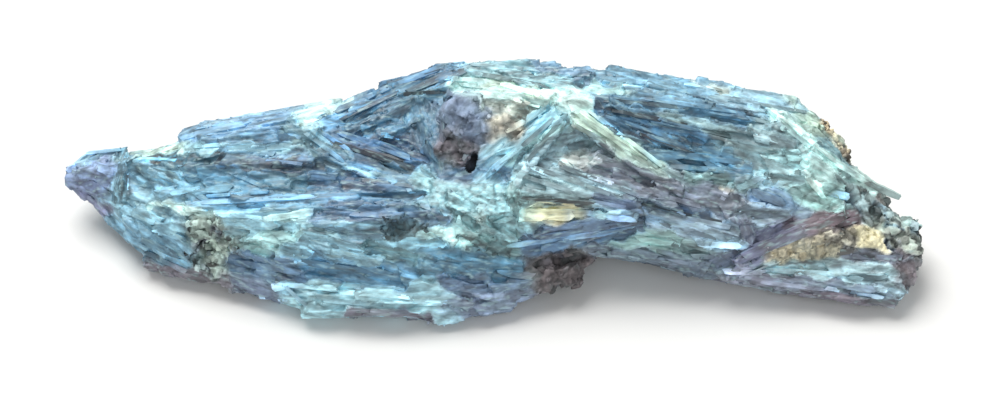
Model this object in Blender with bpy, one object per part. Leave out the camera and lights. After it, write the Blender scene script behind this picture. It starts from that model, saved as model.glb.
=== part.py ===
"""Kyanite blade cluster: a hand specimen of sub-parallel kyanite blades grown together in one mass.

Run it with: blender --background --python part.py
The mass is lofted through SECTIONS, blades are laid on it sheaf by sheaf, lumps of matrix are
grown on and pits are broken out, all in one solid. The frame is in metres, +X along the length
from the thin tip to the crumbly end, +Y to the back, +Z up. The tables below are in millimetres.
"""

import math
import random
from collections import namedtuple

import bmesh
import bpy
from mathutils import Matrix, Quaternion, Vector, noise
from mathutils.bvhtree import BVHTree

MM = 0.001

# The colour of the whole specimen, blue-grey kyanite.
COLOUR = (0.24, 0.36, 0.45, 1.0)
ROUGHNESS = 0.42
METALLIC = 0.0

# The show face is described on a plane that leans back by this much: (u, v) are millimetres
# to the right and up that plane.
SHOW_TILT = math.radians(50.0)

# Cross-sections of the mass, from the thin tip to the crumbly end:
# x, front edge, shoulder, crest, back edge, belly of the back, foot at the back, foot at the front.
# Each point is (y, z).
SECTIONS = [
    (-75, (1.8, 8.6), (2, 10.4), (3.2, 11.3), (4.6, 10.6), (5, 9.4), (4.2, 8.2), (2.6, 8)),
    (-70.1, (-1, 6), (0.2, 10.8), (3.6, 13.4), (6.5, 12), (8.2, 8), (5.4, 4.2), (1.2, 4)),
    (-63.2, (-9, 4.5), (-4.8, 10.8), (1, 16), (5.7, 13), (9.4, 8), (6.4, 2), (-5, 1.5)),
    (-57.1, (-14.5, 3), (-8.3, 12.4), (-1, 17.4), (4.9, 14.8), (10.2, 8.6), (7.4, 0.4), (-10, 0)),
    (-55.2, (-15, 2.8), (-9.2, 12.9), (-0.4, 17.8), (5.4, 15), (10.6, 8.7), (7.8, 0.2), (-10.8, 0)),
    (-54.2, (-15.2, 2.8), (-9.5, 13.1), (0.2, 18.5), (6.8, 16.2), (11.4, 8.8), (8.2, 0.1), (-11.2, 0)),
    (-51, (-15.8, 2.6), (-10.8, 13.8), (1.5, 20), (8.2, 17), (12.8, 9), (9, 0), (-12, 0)),
    (-43.2, (-16.2, 2.8), (-12, 13.8), (1.8, 22), (8.3, 19), (14, 9.6), (10, 0), (-12.8, 0)),
    (-35.3, (-20.9, 2.6), (-14.2, 15.6), (1, 23.4), (8.9, 20.5), (15, 10), (11.2, 0), (-16.8, 0)),
    (-26.6, (-22.7, 2.6), (-15.2, 16.8), (0.4, 23.8), (9.7, 22), (16.2, 11), (12, 0.8), (-19, 0)),
    (-17.9, (-22.8, 2.2), (-15.2, 17.2), (0, 22.4), (12.8, 24), (17.8, 12), (12.6, 1.6), (-19, 0)),
    (-9.2, (-23.8, 2.2), (-14.2, 18), (2.4, 25.4), (14.7, 26), (19.4, 12.6), (13.4, 1.6), (-18.6, 0)),
    (-1.4, (-22, 2.2), (-12.4, 18.4), (3.4, 28.2), (15.1, 27), (20.2, 13), (14, 0.8), (-17, 0.4)),
    (6.4, (-20.1, 2.6), (-11.8, 18.4), (3, 28.8), (13.9, 27), (19.6, 13.2), (13.6, 0), (-15.4, 1.2)),
    (14.3, (-16.4, 5.4), (-10.4, 18.8), (3.2, 29.2), (13.6, 27), (19, 13), (12.8, 0), (-11.6, 2.2)),
    (19.2, (-14.6, 8.8), (-9.2, 19.6), (3.2, 29.4), (13.4, 26.6), (18.2, 12.6), (11.6, 0), (-8.6, 2)),
    (27.4, (-15.9, 7.8), (-9, 19.4), (2.8, 28.8), (12.9, 26), (17.4, 12), (10.4, 0), (-8.8, 0.6)),
    (34.3, (-16.4, 6.6), (-9.8, 17.8), (1.8, 27.2), (12.8, 25), (16.8, 11.4), (10, 0), (-10, 0)),
    (43, (-17.1, 5), (-11, 16.2), (0, 24.8), (10.8, 23), (15.2, 10.6), (9, 0), (-11.6, 0)),
    (51.7, (-18, 3.6), (-12, 14.2), (-2, 22.4), (10.9, 21.3), (13.6, 9.6), (7.8, 0), (-13, 0)),
    (54.8, (-18.3, 3.3), (-12.5, 13.5), (-2.6, 21.4), (10.4, 20), (12, 9.2), (6.6, 0.2), (-13.5, 0)),
    (58.6, (-18.7, 3), (-13, 12.6), (-3.4, 19.6), (7.9, 18.6), (9.8, 8.6), (5, 0.4), (-14.2, 0)),
    (63.9, (-20.2, 2.6), (-14.4, 10.8), (-6, 15.4), (0.3, 13.5), (3.8, 7.6), (0.6, 1.2), (-15.6, 0.6)),
    (68.6, (-21, 2.8), (-16.6, 10.6), (-8.4, 12.8), (-1.5, 11), (0.8, 6.6), (-2.4, 2.4), (-16.6, 1.6)),
    (69.8, (-21.2, 2.8), (-16.6, 10), (-9, 12), (-4.8, 10), (-3.2, 6.6), (-5.2, 2.8), (-16.8, 1.8)),
    (71.4, (-19.4, 3.4), (-15.6, 9.2), (-9.6, 10.8), (-5.4, 9.2), (-3.8, 6.4), (-6, 3.4), (-15, 2.6)),
    (73.2, (-16.8, 3.8), (-14.4, 8.8), (-9.8, 10.2), (-5.6, 8.6), (-4, 6.4), (-6.4, 3.8), (-13.4, 3.2)),
    (75, (-12.2, 5.2), (-11.9, 6.5), (-10.8, 7.1), (-9.8, 6.6), (-9.5, 5.8), (-10, 5), (-11.3, 4.8)),
]
# How many rows of facets each stretch of a section is split into, front edge to shoulder first.
ROWS = (5, 6, 4, 4, 4, 3, 3, 2)
FACET_RUN = 4.0  # how long a facet is along X, about
FLUTE = 0.55  # how far a row of facets stands in or out of its neighbours
FLUTE_RUN = 3  # steps along X before a row may change
SWELL = 0.9  # how far the mass wanders off its sections
SWELL_SIZE = 17.0  # how far apart those swellings are
FULL_SECTION = 14.0  # a section narrower than this is roughened less, down to nothing
UNDER_ARCH = 1.0  # how far the underside's middle stands above its feet
RELIEF_FALL = 1.6  # how quickly each piece of RELIEF falls away from its middle
CHIPPED = (0.78, 1.12)  # how far a lump's corners lie from its middle, as a share of its size
FLAT_ANGLE = 4.0  # facets that meet at under this many degrees are one facet

# How a blade sits in the mass it grew from.
BURIED = 3.0  # how deep it reaches in
BEVEL = 0.08  # how much narrower its face is than its root, as a share of its width, each side
DIP = 0.55  # how much lower one end lies than the other, as a share of how proud it stands
ROLL = 24.0  # most degrees it leans about its own length
TAPER = (0.5, 0.9)  # its far end's width, as a share of its near end's
LENGTHS = (0.8, 1.15)  # its length, as a share of its sheaf's
WIDTHS = (0.8, 1.3)
BREAK_SLANT = 0.9  # how far a broken end runs aslant, as a share of the width
BREAK_SLOPE = (0.2, 1.2)  # how far a broken end slopes back for each step down
BIG_LUMP = 2.9  # a lump that reaches further than this has 80 facets, the others 20
EDGE_DEPTH = 16.0  # how far out the show face's outline lies
FLOOR = 0.0  # the mass is worn flat at this height, where it rests
SKY = 100.0  # blades are laid down from this far outside the mass
GOLDEN = 0.618  # spreads the blades of a sheaf evenly across it

# Broad relief of the show face: name, (u, v) of its middle, reach along u and v, height.
RELIEF = [
    ("hollow under the arch", (-19.5, 12.5), (9.5, 5.0), -2.6),
    ("slot left of the lump", (-10.0, 14.0), (3.0, 6.0), -1.6),
    ("lump", (-3.6, 18.2), (6.5, 5.6), 2.6),
    ("star", (14.0, 20.6), (7.0, 4.0), 1.8),
    ("brown hollow", (17.5, 13.0), (6.5, 3.5), -1.8),
    ("lilac ridge", (26.0, 3.0), (10.0, 3.2), 1.4),
    ("yellow hollow", (11.0, 2.4), (8.0, 2.6), -1.6),
    ("left brow", (-40.0, 3.0), (22.0, 4.0), 1.0),
    ("dark slope", (34.0, 17.0), (14.0, 5.0), -1.2),
    ("violet band", (52.0, -2.5), (13.0, 2.6), 1.2),
    ("ochre hollow", (60.0, -4.5), (8.0, 3.0), -1.4),
    ("neck behind the tip", (-60.0, 8.5), (4.0, 9.0), -1.0),
    ("pale foot", (-20.0, -14.0), (15.0, 3.0), 1.3),
]

# The faces that blades are laid on: the direction to the right, up the face, and out of it.
HIGH, LOW = math.sin(math.radians(30.0)), math.cos(math.radians(30.0))
RIGHT = Vector((1, 0, 0))
FACES = {
    "show": (
        Vector((0, math.sin(SHOW_TILT), math.cos(SHOW_TILT))),
        Vector((0, -math.cos(SHOW_TILT), math.sin(SHOW_TILT))),
    ),
    "back": (Vector((0, -HIGH, LOW)), Vector((0, LOW, HIGH))),
    "heel": (Vector((0, HIGH, LOW)), Vector((0, LOW, -HIGH))),
    "under": (Vector((0, 1, 0)), Vector((0, 0, -1))),
    "toe": (Vector((0, -HIGH, LOW)), Vector((0, -LOW, -HIGH))),
}

# Sheaves of blades. start and end are (u, v) on the sheaf's face, spread is its width, size is a
# blade's (length, width), proud is how far its back stands out, fan is how much the sheaf opens
# from its start to its end and skew how far a blade strays from its neighbours, in degrees.
Sheaf = namedtuple("Sheaf", "name face start end spread count size proud fan skew")
SHEAVES = [
    Sheaf("tip_plate", "show", (-62, 10.2), (-73.5, 9.8), 4.4, 2, (10, 3.6), 0.9, 0, 6),
    Sheaf("tip_ribs", "show", (-65, 13.0), (-64.5, 5.0), 3.4, 3, (7, 1.3), 0.9, 0, 3),
    Sheaf("left_ridge", "show", (-54.5, 13.2), (-26, 17.8), 3.6, 4, (16, 2.6), 1.1, 0, 3),
    Sheaf("left_roof", "show", (-53.5, 10.6), (-27, 13.6), 3.5, 3, (15, 3.2), 0.9, 0, 4),
    Sheaf("left_mid", "show", (-60, 8.0), (-24.5, 9.0), 6.0, 5, (16, 2.8), 1.1, 0, 5),
    Sheaf("left_streaks", "show", (-60, 2.8), (-12.5, 2.8), 5.0, 6, (20, 2.4), 1.3, 0, 4),
    Sheaf("left_cheek", "show", (-64.6, 2.4), (-50, -5.6), 4.4, 3, (11, 3.8), 0.8, 0, 6),
    Sheaf("left_keel", "show", (-55, -7.2), (-28, -12.2), 3.6, 3, (17, 3.2), 1.0, 0, 5),
    Sheaf("left_low", "show", (-46.5, -1.4), (-16, -6.5), 6.0, 5, (14, 2.8), 1.1, 6, 6),
    Sheaf("left_strip", "show", (-48.5, -6.6), (-18, -11.8), 4.0, 3, (16, 2.8), 0.9, 0, 5),
    Sheaf("pale_ledge", "show", (-34, -12.2), (-6.5, -14.2), 3.2, 4, (16, 2.8), 1.4, 0, 4),
    Sheaf("centre_low", "show", (-16, -6.5), (5.5, -10.6), 7.0, 4, (12, 3.0), 1.1, 6, 9),
    Sheaf("arch", "show", (-27.5, 17.4), (-2.5, 26.4), 4.0, 4, (16, 3.0), 1.2, 0, 4),
    Sheaf("arch_face", "show", (-25.5, 14.9), (-7.5, 23.0), 4.0, 2, (14, 3.4), 0.7, 0, 5),
    Sheaf("hollow", "show", (-29, 15.9), (-11, 6.7), 6.0, 4, (13, 2.4), 0.9, 0, 4),
    Sheaf("mid_centre", "show", (-28, 6.7), (-9, 4.1), 7.0, 4, (12, 2.8), 0.9, 0, 8),
    Sheaf("crest_left", "show", (14, 21.7), (-9.5, 24.6), 4.6, 4, (15, 2.8), 1.3, 8, 5),
    Sheaf("star_down", "show", (13.6, 20.0), (0.4, 6.7), 4.6, 4, (14, 2.4), 1.4, 12, 4),
    Sheaf("star_band", "show", (14.7, 19.6), (35.7, 5.0), 3.0, 3, (18, 2.8), 1.6, 6, 3),
    Sheaf("dark_fan", "show", (17, 21.4), (39, 10.2), 7.0, 5, (18, 2.2), 1.0, 18, 3),
    Sheaf("dark_rows", "show", (18.5, 22.3), (51.7, 16.3), 5.0, 4, (20, 2.4), 1.0, 8, 3),
    Sheaf("top_edge", "show", (20.5, 24.6), (54, 19.4), 3.4, 4, (16, 3.0), 1.1, 0, 4),
    Sheaf("brow", "show", (1.0, 27.0), (20, 24.6), 3.0, 2, (12, 2.8), 1.1, 0, 6),
    Sheaf("teal_rows", "show", (34, 12.8), (62, 10.3), 7.5, 5, (13, 2.8), 1.1, 0, 7),
    Sheaf("white_slash", "show", (49, 19.0), (69.5, 4.5), 3.0, 3, (15, 2.6), 1.6, 0, 4),
    Sheaf("end_top", "show", (56.5, 17.6), (62.5, 11.2), 3.5, 2, (8, 3.0), 1.0, 0, 8),
    Sheaf("brown_rows", "show", (11.5, 12.7), (39, 3.3), 7.5, 4, (14, 3.0), 0.9, 0, 6),
    Sheaf("lilac_rows", "show", (4.7, 9.2), (27, 3.3), 4.4, 4, (17, 2.4), 1.4, -8, 3),
    Sheaf("ledge_rows", "show", (27, 2.1), (6, -3.5), 3.0, 3, (17, 2.6), 1.5, 6, 3),
    Sheaf("lilac_right", "show", (26, 2.1), (47, -3.1), 4.0, 3, (16, 2.6), 1.4, 8, 4),
    Sheaf("low_right", "show", (17, -4.0), (40, -7.2), 4.0, 3, (14, 3.0), 1.0, 0, 5),
    Sheaf("violet_band", "show", (38.5, -7.4), (62, 1.7), 2.6, 2, (20, 3.0), 1.8, 0, 3),
    Sheaf("right_keel", "show", (39.5, -9.0), (70.5, -12.4), 3.2, 4, (16, 2.8), 1.3, 0, 4),
    Sheaf("right_shelf", "show", (51.5, -6.6), (71.5, -9.1), 4.0, 2, (12, 3.0), 0.9, 0, 6),
    Sheaf("violet_patch", "show", (40, 5.9), (53, 3.3), 7.0, 3, (10, 3.6), 1.0, 0, 12),
    Sheaf("centre_jumble", "show", (-11, 5.0), (5, -3.0), 9.0, 5, (7, 3.0), 1.3, 0, 45),
    Sheaf("foot_lump", "show", (-6.5, -14.6), (14, -8.8), 3.5, 2, (12, 3.4), 1.2, 0, 8),
    Sheaf("back_left_top", "back", (-57, 5.2), (-22, 8.4), 5.0, 3, (19, 4.0), 1.1, 0, 5),
    Sheaf("back_left", "back", (-60, 2.0), (-18, 1.0), 8.0, 4, (19, 4.0), 1.3, 0, 7),
    Sheaf("back_crown", "back", (10, 11.4), (-24, 6.2), 6.0, 4, (18, 3.8), 1.2, 10, 5),
    Sheaf("back_mid", "back", (14, 9.0), (-18, 3.0), 8.0, 4, (20, 4.2), 1.5, 8, 8),
    Sheaf("back_right_top", "back", (14, 13.4), (54, 8.4), 5.4, 4, (20, 3.8), 1.3, 8, 5),
    Sheaf("back_right", "back", (16, 8.0), (57, 3.0), 8.0, 5, (19, 4.0), 1.4, 10, 7),
    Sheaf("back_end", "back", (54, 6.0), (67, 4.4), 5.0, 3, (8, 3.2), 1.0, 0, 16),
    Sheaf("heel_left", "heel", (-60, 9.5), (-22, 13.0), 6.0, 3, (19, 4.0), 1.2, 0, 7),
    Sheaf("heel_mid", "heel", (-24, 13.0), (18, 13.0), 8.0, 4, (18, 4.2), 1.3, 0, 9),
    Sheaf("heel_right", "heel", (16, 12.0), (58, 10.0), 7.0, 4, (18, 4.0), 1.2, 0, 7),
    Sheaf("under_left", "under", (-62, -2.0), (-20, -4.0), 16.0, 4, (20, 4.6), 0.9, 0, 8),
    Sheaf("under_mid", "under", (-22, -3.0), (20, -2.0), 20.0, 4, (19, 4.8), 1.2, 0, 12),
    Sheaf("under_right", "under", (18, 1.4), (66, -5.0), 12.0, 4, (20, 4.6), 0.9, 0, 8),
    Sheaf("toe_left", "toe", (-58, 9.5), (-20, 11.5), 3.5, 3, (16, 3.2), 0.5, 0, 5),
    Sheaf("toe_mid", "toe", (-22, 11.0), (10, 10.5), 3.5, 3, (15, 3.2), 0.5, 0, 6),
    Sheaf("toe_right", "toe", (18, 9.0), (66, 9.5), 5.0, 3, (16, 3.4), 0.6, 0, 6),
]

# Lumps of matrix and broken stubs: name, (u, v) on the show face, how high its middle lies over
# the mass, half-sizes along u, v and outwards, turn in degrees.
Lump = namedtuple("Lump", "name spot lift size turn")
LUMPS = [
    Lump("grey_lump", (-4.6, 18.6), -1.2, (5.2, 4.6, 3.4), 20),
    Lump("tan_lump", (3.4, 18.6), -0.8, (3.0, 2.4, 2.2), -35),
    Lump("red_lump", (-8.6, 12.6), -0.8, (3.0, 4.0, 2.2), 70),
    Lump("red_stub", (-5.6, 10.6), -0.4, (1.9, 1.7, 1.6), 10),
    Lump("recess_lump", (11.2, -7.6), -1.6, (5.4, 3.4, 3.0), -20),
    Lump("pit_rim", (-47.4, -6.4), -0.6, (2.4, 1.9, 1.8), 30),
    Lump("pit_crumb", (-52.0, -3.2), -0.5, (1.9, 1.5, 1.4), 80),
    Lump("eye_grain", (-14.6, -0.9), -0.4, (1.7, 1.4, 1.4), 0),
    Lump("end_top_knob", (60.0, 13.2), -0.9, (2.2, 3.2, 2.0), 20),
    Lump("end_knob_a", (66.2, 5.2), -0.8, (2.6, 1.7, 2.0), -25),
    Lump("end_spike", (69.7, 4.8), -0.5, (2.7, 0.9, 1.3), -28),
    Lump("end_knob_c", (67.8, 0.8), -0.6, (2.2, 1.5, 1.8), 40),
    Lump("end_knob_d", (72.6, 0.1), -0.2, (2.4, 1.5, 1.5), -8),
    Lump("end_knob_e", (72.6, -4.5), -0.4, (2.3, 1.2, 1.5), 6),
    Lump("end_knob_f", (71.8, -8.5), -0.5, (1.7, 1.9, 1.6), 80),
    Lump("ochre_crust", (65.6, -3.2), -0.9, (3.6, 2.4, 1.8), -12),
    Lump("end_foot", (69.8, -12.0), -0.7, (2.8, 1.4, 1.7), 6),
]

# Pits broken into the show face, cut with the same kind of chipped lump.
PITS = [
    Lump("hole_by_the_lump", (-3.4, 10.6), 0.4, (1.1, 1.9, 2.8), -15),
    Lump("brown_pit", (15.2, 13.4), 0.6, (3.4, 1.7, 2.2), 12),
    Lump("yellow_pit", (9.2, 2.2), 0.5, (4.6, 1.6, 2.0), 2),
    Lump("left_pit", (-50.6, -5.4), 0.3, (1.6, 2.8, 2.2), -35),
    Lump("eye_pit", (-15.8, -0.6), 0.5, (3.4, 2.2, 1.9), 8),
    Lump("end_pit_a", (66.4, 2.2), 0.4, (2.2, 0.9, 1.8), -35),
    Lump("end_pit_b", (70.0, -1.6), 0.4, (2.2, 1.0, 1.8), -30),
    Lump("green_pit", (56.4, 8.6), 0.4, (2.2, 0.9, 1.5), -8),
    Lump("under_ledge", (13.0, -6.2), 0.8, (6.0, 1.3, 3.0), 10),
    Lump("crest_notch", (18.8, 27.6), -0.8, (1.7, 1.4, 3.4), 0),
]


def new_mesh_object(name, build):
    """An object named name, whose mesh build(bm) fills in."""
    bm = bmesh.new()
    build(bm)
    mesh = bpy.data.meshes.new(name)
    bm.to_mesh(mesh)
    bm.free()
    obj = bpy.data.objects.new(name, mesh)
    bpy.context.scene.collection.objects.link(obj)
    return obj


def section_rows(points):
    """The points round one section, each of its stretches split into its rows."""
    (back_y, back_z), (front_y, front_z) = points[-2:]
    arch = ((back_y + front_y) / 2, max(back_z, front_z) + UNDER_ARCH)
    corners = [Vector(p) for p in (*points[:-1], arch, points[-1])]
    rows = []
    for i, count in enumerate(ROWS):
        near, far = corners[i], corners[(i + 1) % len(corners)]
        rows += [near.lerp(far, k / count) for k in range(count)]
    return rows


def relief_at(u, v):
    """How far the show face stands out at (u, v) for its hollows, lumps and ridges."""
    height = 0.0
    for _, (mid_u, mid_v), (reach_u, reach_v), rise in RELIEF:
        off = ((u - mid_u) / reach_u) ** 2 + ((v - mid_v) / reach_v) ** 2
        height += rise * math.exp(-RELIEF_FALL * off)
    return height


def build_mass(bm):
    """The core of the specimen: a loft through SECTIONS with fluted rows and broad relief."""
    flutes = random.Random(5)
    up, out = FACES["show"]
    stations = []
    for near, far in zip(SECTIONS, SECTIONS[1:]):
        a, b = section_rows(near[1:]), section_rows(far[1:])
        steps = max(1, round((far[0] - near[0]) / FACET_RUN))
        for k in range(steps):
            share = k / steps
            x = near[0] + (far[0] - near[0]) * share
            stations.append((x, [p.lerp(q, share) for p, q in zip(a, b)]))
    stations.append((SECTIONS[-1][0], section_rows(SECTIONS[-1][1:])))
    count = len(stations[0][1])
    rise = [0.0] * count
    since = [flutes.randrange(FLUTE_RUN) for _ in range(count)]
    rings = []
    for x, row in stations:
        middle = sum(row, Vector((0, 0))) / count
        slender = min(1.0, (row[0] - row[count // 2]).length / FULL_SECTION)
        ring = []
        for i, point in enumerate(row):
            since[i] += 1
            if since[i] > FLUTE_RUN:
                since[i] = flutes.randrange(2)
                rise[i] = flutes.uniform(-FLUTE, FLUTE)
            away = (point - middle).normalized()
            spot = Vector((x, point.x, point.y))
            swell = noise.noise(spot / SWELL_SIZE) * SWELL
            spot += Vector((0, away.x, away.y)) * (rise[i] + swell) * slender
            u, v = spot.x, spot.dot(up)
            facing = max(0.0, Vector((0, away.x, away.y)).dot(out))
            spot += out * relief_at(u, v) * facing
            ring.append(bm.verts.new(spot * MM))
        rings.append(ring)
    for near, far in zip(rings, rings[1:]):
        for i in range(count):
            j = (i + 1) % count
            bm.faces.new((near[i], near[j], far[j], far[i]))
    bm.faces.new(rings[0][::-1])
    bm.faces.new(rings[-1])
    bmesh.ops.recalc_face_normals(bm, faces=bm.faces)
    bmesh.ops.triangulate(bm, faces=bm.faces)


class Ground:
    """The mass as ground that blades are laid on, asked in a face's own (u, v)."""

    def __init__(self, obj):
        self.tree = BVHTree.FromObject(obj, bpy.context.evaluated_depsgraph_get())

    def at(self, face, u, v):
        """(point, normal) of the mass under (u, v) of a face, or (None, None) off its edge."""
        up, out = FACES[face]
        above = (RIGHT * u + up * v + out * SKY) * MM
        point, normal, _, _ = self.tree.ray_cast(above, -out)
        return point, normal


def add_lath(bm, middle, axis, out, length, width, proud, rng):
    """One blade: a flat lath sunk in the mass, with both ends broken off aslant."""
    side = axis.cross(out).normalized()
    out = side.cross(axis)
    face = 0.5 - BEVEL
    profile = [(-0.5, -BURIED), (-face, proud), (face, proud), (0.5, -BURIED)]
    ends = []
    for sign, narrow in ((-1, 1.0), (1, rng.uniform(*TAPER))):
        slant = rng.uniform(-BREAK_SLANT, BREAK_SLANT)
        slope = rng.uniform(*BREAK_SLOPE)
        ring = []
        for across, height in profile:
            along = sign * (length / 2 + min(slope * (proud - height), proud))
            along += slant * across * width
            offset = axis * along + side * across * width * narrow + out * height
            ring.append(bm.verts.new(middle + offset * MM))
        ends.append(ring)
    near, far = ends
    count = len(profile)
    made = [bm.faces.new(near[::-1]), bm.faces.new(far)]
    for i in range(count):
        j = (i + 1) % count
        made.append(bm.faces.new((near[i], near[j], far[j], far[i])))
    bmesh.ops.recalc_face_normals(bm, faces=made)


def lay_sheaf(bm, ground, sheaf):
    """The blades of one sheaf, side by side and end past end, each following the mass."""
    rng = random.Random(sheaf.name)
    start, end = Vector(sheaf.start), Vector(sheaf.end)
    run = end - start
    heading = math.atan2(run.y, run.x)
    across_dir = Vector((-math.sin(heading), math.cos(heading)))
    length, width = sheaf.size
    slack = max(run.length - length, 0.0)
    for i in range(sheaf.count):
        share = (i + 0.5) / sheaf.count
        across = ((i * GOLDEN) % 1.0 - 0.5) * sheaf.spread
        along = length / 2 + slack * share
        opening = math.radians(sheaf.fan) * across / sheaf.spread
        turn = heading + opening + math.radians(rng.uniform(-sheaf.skew, sheaf.skew))
        spot = start + run.normalized() * along + across_dir * across
        spot += across_dir * math.tan(opening) * (along - length / 2)
        half = length * rng.uniform(*LENGTHS) / 2
        step = Vector((math.cos(turn), math.sin(turn))) * half
        middle, normal = ground.at(sheaf.face, *spot)
        if middle is None:
            continue
        near, _ = ground.at(sheaf.face, *(spot - step))
        far, _ = ground.at(sheaf.face, *(spot + step))
        near, far = near or middle, far or middle
        if (far - near).length < half * MM:
            continue
        reach = (far - near).length / MM
        centre = ((near + far) / 2 + middle) / 2
        dip = normal * sheaf.proud * DIP * rng.choice((-1, 1)) * MM
        axis = (far + dip - near).normalized()
        out = (normal - axis * normal.dot(axis)).normalized()
        out.rotate(Quaternion(axis, math.radians(rng.uniform(-ROLL, ROLL))))
        blade_width = width * rng.uniform(*WIDTHS)
        add_lath(bm, centre, axis, out, reach, blade_width, sheaf.proud, rng)


def add_lump(bm, ground, lump):
    """One chipped, flat-faced lump on the show face."""
    rng = random.Random(lump.name)
    up, out = FACES["show"]
    spot, _ = ground.at("show", *lump.spot)
    if spot is None:
        spot = (RIGHT * lump.spot[0] + up * lump.spot[1] + out * EDGE_DEPTH) * MM
    turn = Matrix.Rotation(math.radians(lump.turn), 3, "Z")
    splits = 2 if max(lump.size) > BIG_LUMP else 1
    made = bmesh.ops.create_icosphere(bm, subdivisions=splits, radius=1.0)
    for vert in made["verts"]:
        local = vert.co * rng.uniform(*CHIPPED)
        local = turn @ Vector([c * s for c, s in zip(local, lump.size)])
        local.z += lump.lift
        vert.co = spot + (RIGHT * local.x + up * local.y + out * local.z) * MM


def keep_outer_shell(obj):
    """Drops what the union left inside or beside the mass: sealed pockets and loose chips."""
    bm = bmesh.new()
    bm.from_mesh(obj.data)
    left, largest = set(bm.verts), []
    while left:
        found, queue = set(), [left.pop()]
        while queue:
            vert = queue.pop()
            found.add(vert)
            for edge in vert.link_edges:
                other = edge.other_vert(vert)
                if other in left:
                    left.discard(other)
                    queue.append(other)
        if len(found) > len(largest):
            largest = found
    bmesh.ops.delete(bm, geom=[v for v in bm.verts if v not in largest], context="VERTS")
    bm.to_mesh(obj.data)
    bm.free()


def wear_flat(obj):
    """Cuts the underside off at the floor, so that the specimen rests on flat patches."""
    bm = bmesh.new()
    bm.from_mesh(obj.data)
    cut = bmesh.ops.bisect_plane(
        bm,
        geom=bm.verts[:] + bm.edges[:] + bm.faces[:],
        plane_co=(0, 0, FLOOR * MM),
        plane_no=(0, 0, -1),
        clear_outer=True,
    )
    rim = [g for g in cut["geom_cut"] if isinstance(g, bmesh.types.BMEdge)]
    bmesh.ops.holes_fill(bm, edges=rim, sides=0)
    bmesh.ops.dissolve_limit(
        bm, angle_limit=math.radians(FLAT_ANGLE), verts=bm.verts, edges=bm.edges
    )
    bmesh.ops.triangulate(bm, faces=bm.faces)
    bmesh.ops.recalc_face_normals(bm, faces=bm.faces)
    bm.to_mesh(obj.data)
    bm.free()


def centre_on_floor(obj):
    """Moves the mesh so that its box stands on Z = 0 with the middle of its footprint at the origin."""
    spots = [v.co for v in obj.data.vertices]
    low = Vector([min(c) for c in zip(*spots)])
    high = Vector([max(c) for c in zip(*spots)])
    middle = (low + high) / 2
    obj.data.transform(Matrix.Translation((-middle.x, -middle.y, -low.z)))


def paint(obj):
    """Gives the specimen its one Principled material."""
    material = bpy.data.materials.new(obj.name)
    material.use_nodes = True
    shader = material.node_tree.nodes["Principled BSDF"]
    shader.inputs["Base Color"].default_value = COLOUR
    shader.inputs["Roughness"].default_value = ROUGHNESS
    shader.inputs["Metallic"].default_value = METALLIC
    obj.data.materials.clear()
    obj.data.materials.append(material)


def unite(obj, other, operation="UNION"):
    """Applies a Boolean of other to obj and removes other."""
    modifier = obj.modifiers.new("join", "BOOLEAN")
    modifier.object = other
    modifier.operation = operation
    modifier.solver = "EXACT"
    modifier.use_self = True
    graph = bpy.context.evaluated_depsgraph_get()
    joined = bpy.data.meshes.new_from_object(obj.evaluated_get(graph))
    obj.modifiers.clear()
    obj.data = joined
    bpy.data.objects.remove(other)


def main():
    for obj in list(bpy.data.objects):
        bpy.data.objects.remove(obj)
    mass = new_mesh_object("kyanite_cluster", build_mass)
    ground = Ground(mass)

    def build_blades(bm):
        for sheaf in SHEAVES:
            lay_sheaf(bm, ground, sheaf)
        for lump in LUMPS:
            add_lump(bm, ground, lump)

    def build_pits(bm):
        for pit in PITS:
            add_lump(bm, ground, pit)

    unite(mass, new_mesh_object("blades", build_blades))
    unite(mass, new_mesh_object("pits", build_pits), "DIFFERENCE")
    wear_flat(mass)
    keep_outer_shell(mass)
    centre_on_floor(mass)
    paint(mass)


main()
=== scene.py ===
"""Kyanite blade cluster: its looks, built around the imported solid.

The solid is copied, remeshed and roughened into the body of the specimen. A few hundred thin
blades and plates and about a thousand crumbs of matrix are then laid on it. All of it follows the
grain, sizes and colours that GRAIN gives for the patch of the specimen that it lies in.

Points are in metres, and sizes in millimetres where nothing else is said.
"""

import math
from collections import namedtuple

import bmesh
import bpy
import numpy as np
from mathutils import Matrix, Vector, noise
from mathutils.bvhtree import BVHTree


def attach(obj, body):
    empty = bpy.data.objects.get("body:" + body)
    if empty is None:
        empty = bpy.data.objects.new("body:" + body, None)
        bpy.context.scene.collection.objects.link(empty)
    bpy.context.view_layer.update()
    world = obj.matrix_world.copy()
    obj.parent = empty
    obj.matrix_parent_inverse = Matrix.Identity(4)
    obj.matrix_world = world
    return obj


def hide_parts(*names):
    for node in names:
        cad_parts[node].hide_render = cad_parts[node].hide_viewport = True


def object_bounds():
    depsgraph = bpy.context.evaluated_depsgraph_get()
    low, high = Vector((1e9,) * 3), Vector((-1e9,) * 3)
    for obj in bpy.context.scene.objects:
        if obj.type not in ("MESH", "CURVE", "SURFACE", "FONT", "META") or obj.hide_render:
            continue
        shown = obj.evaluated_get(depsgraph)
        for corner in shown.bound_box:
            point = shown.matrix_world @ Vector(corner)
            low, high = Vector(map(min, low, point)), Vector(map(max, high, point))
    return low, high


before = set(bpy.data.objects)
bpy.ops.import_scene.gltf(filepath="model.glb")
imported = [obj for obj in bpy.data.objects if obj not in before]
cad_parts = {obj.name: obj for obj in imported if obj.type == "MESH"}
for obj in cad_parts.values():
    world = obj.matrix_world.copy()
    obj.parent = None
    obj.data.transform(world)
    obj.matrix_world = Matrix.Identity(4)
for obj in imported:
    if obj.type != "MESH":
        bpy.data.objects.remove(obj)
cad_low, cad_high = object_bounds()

MM = 0.001
NODE = "kyanite_cluster"
noise.seed_set(3)  # noise_vector would take its offsets from the clock without it


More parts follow.
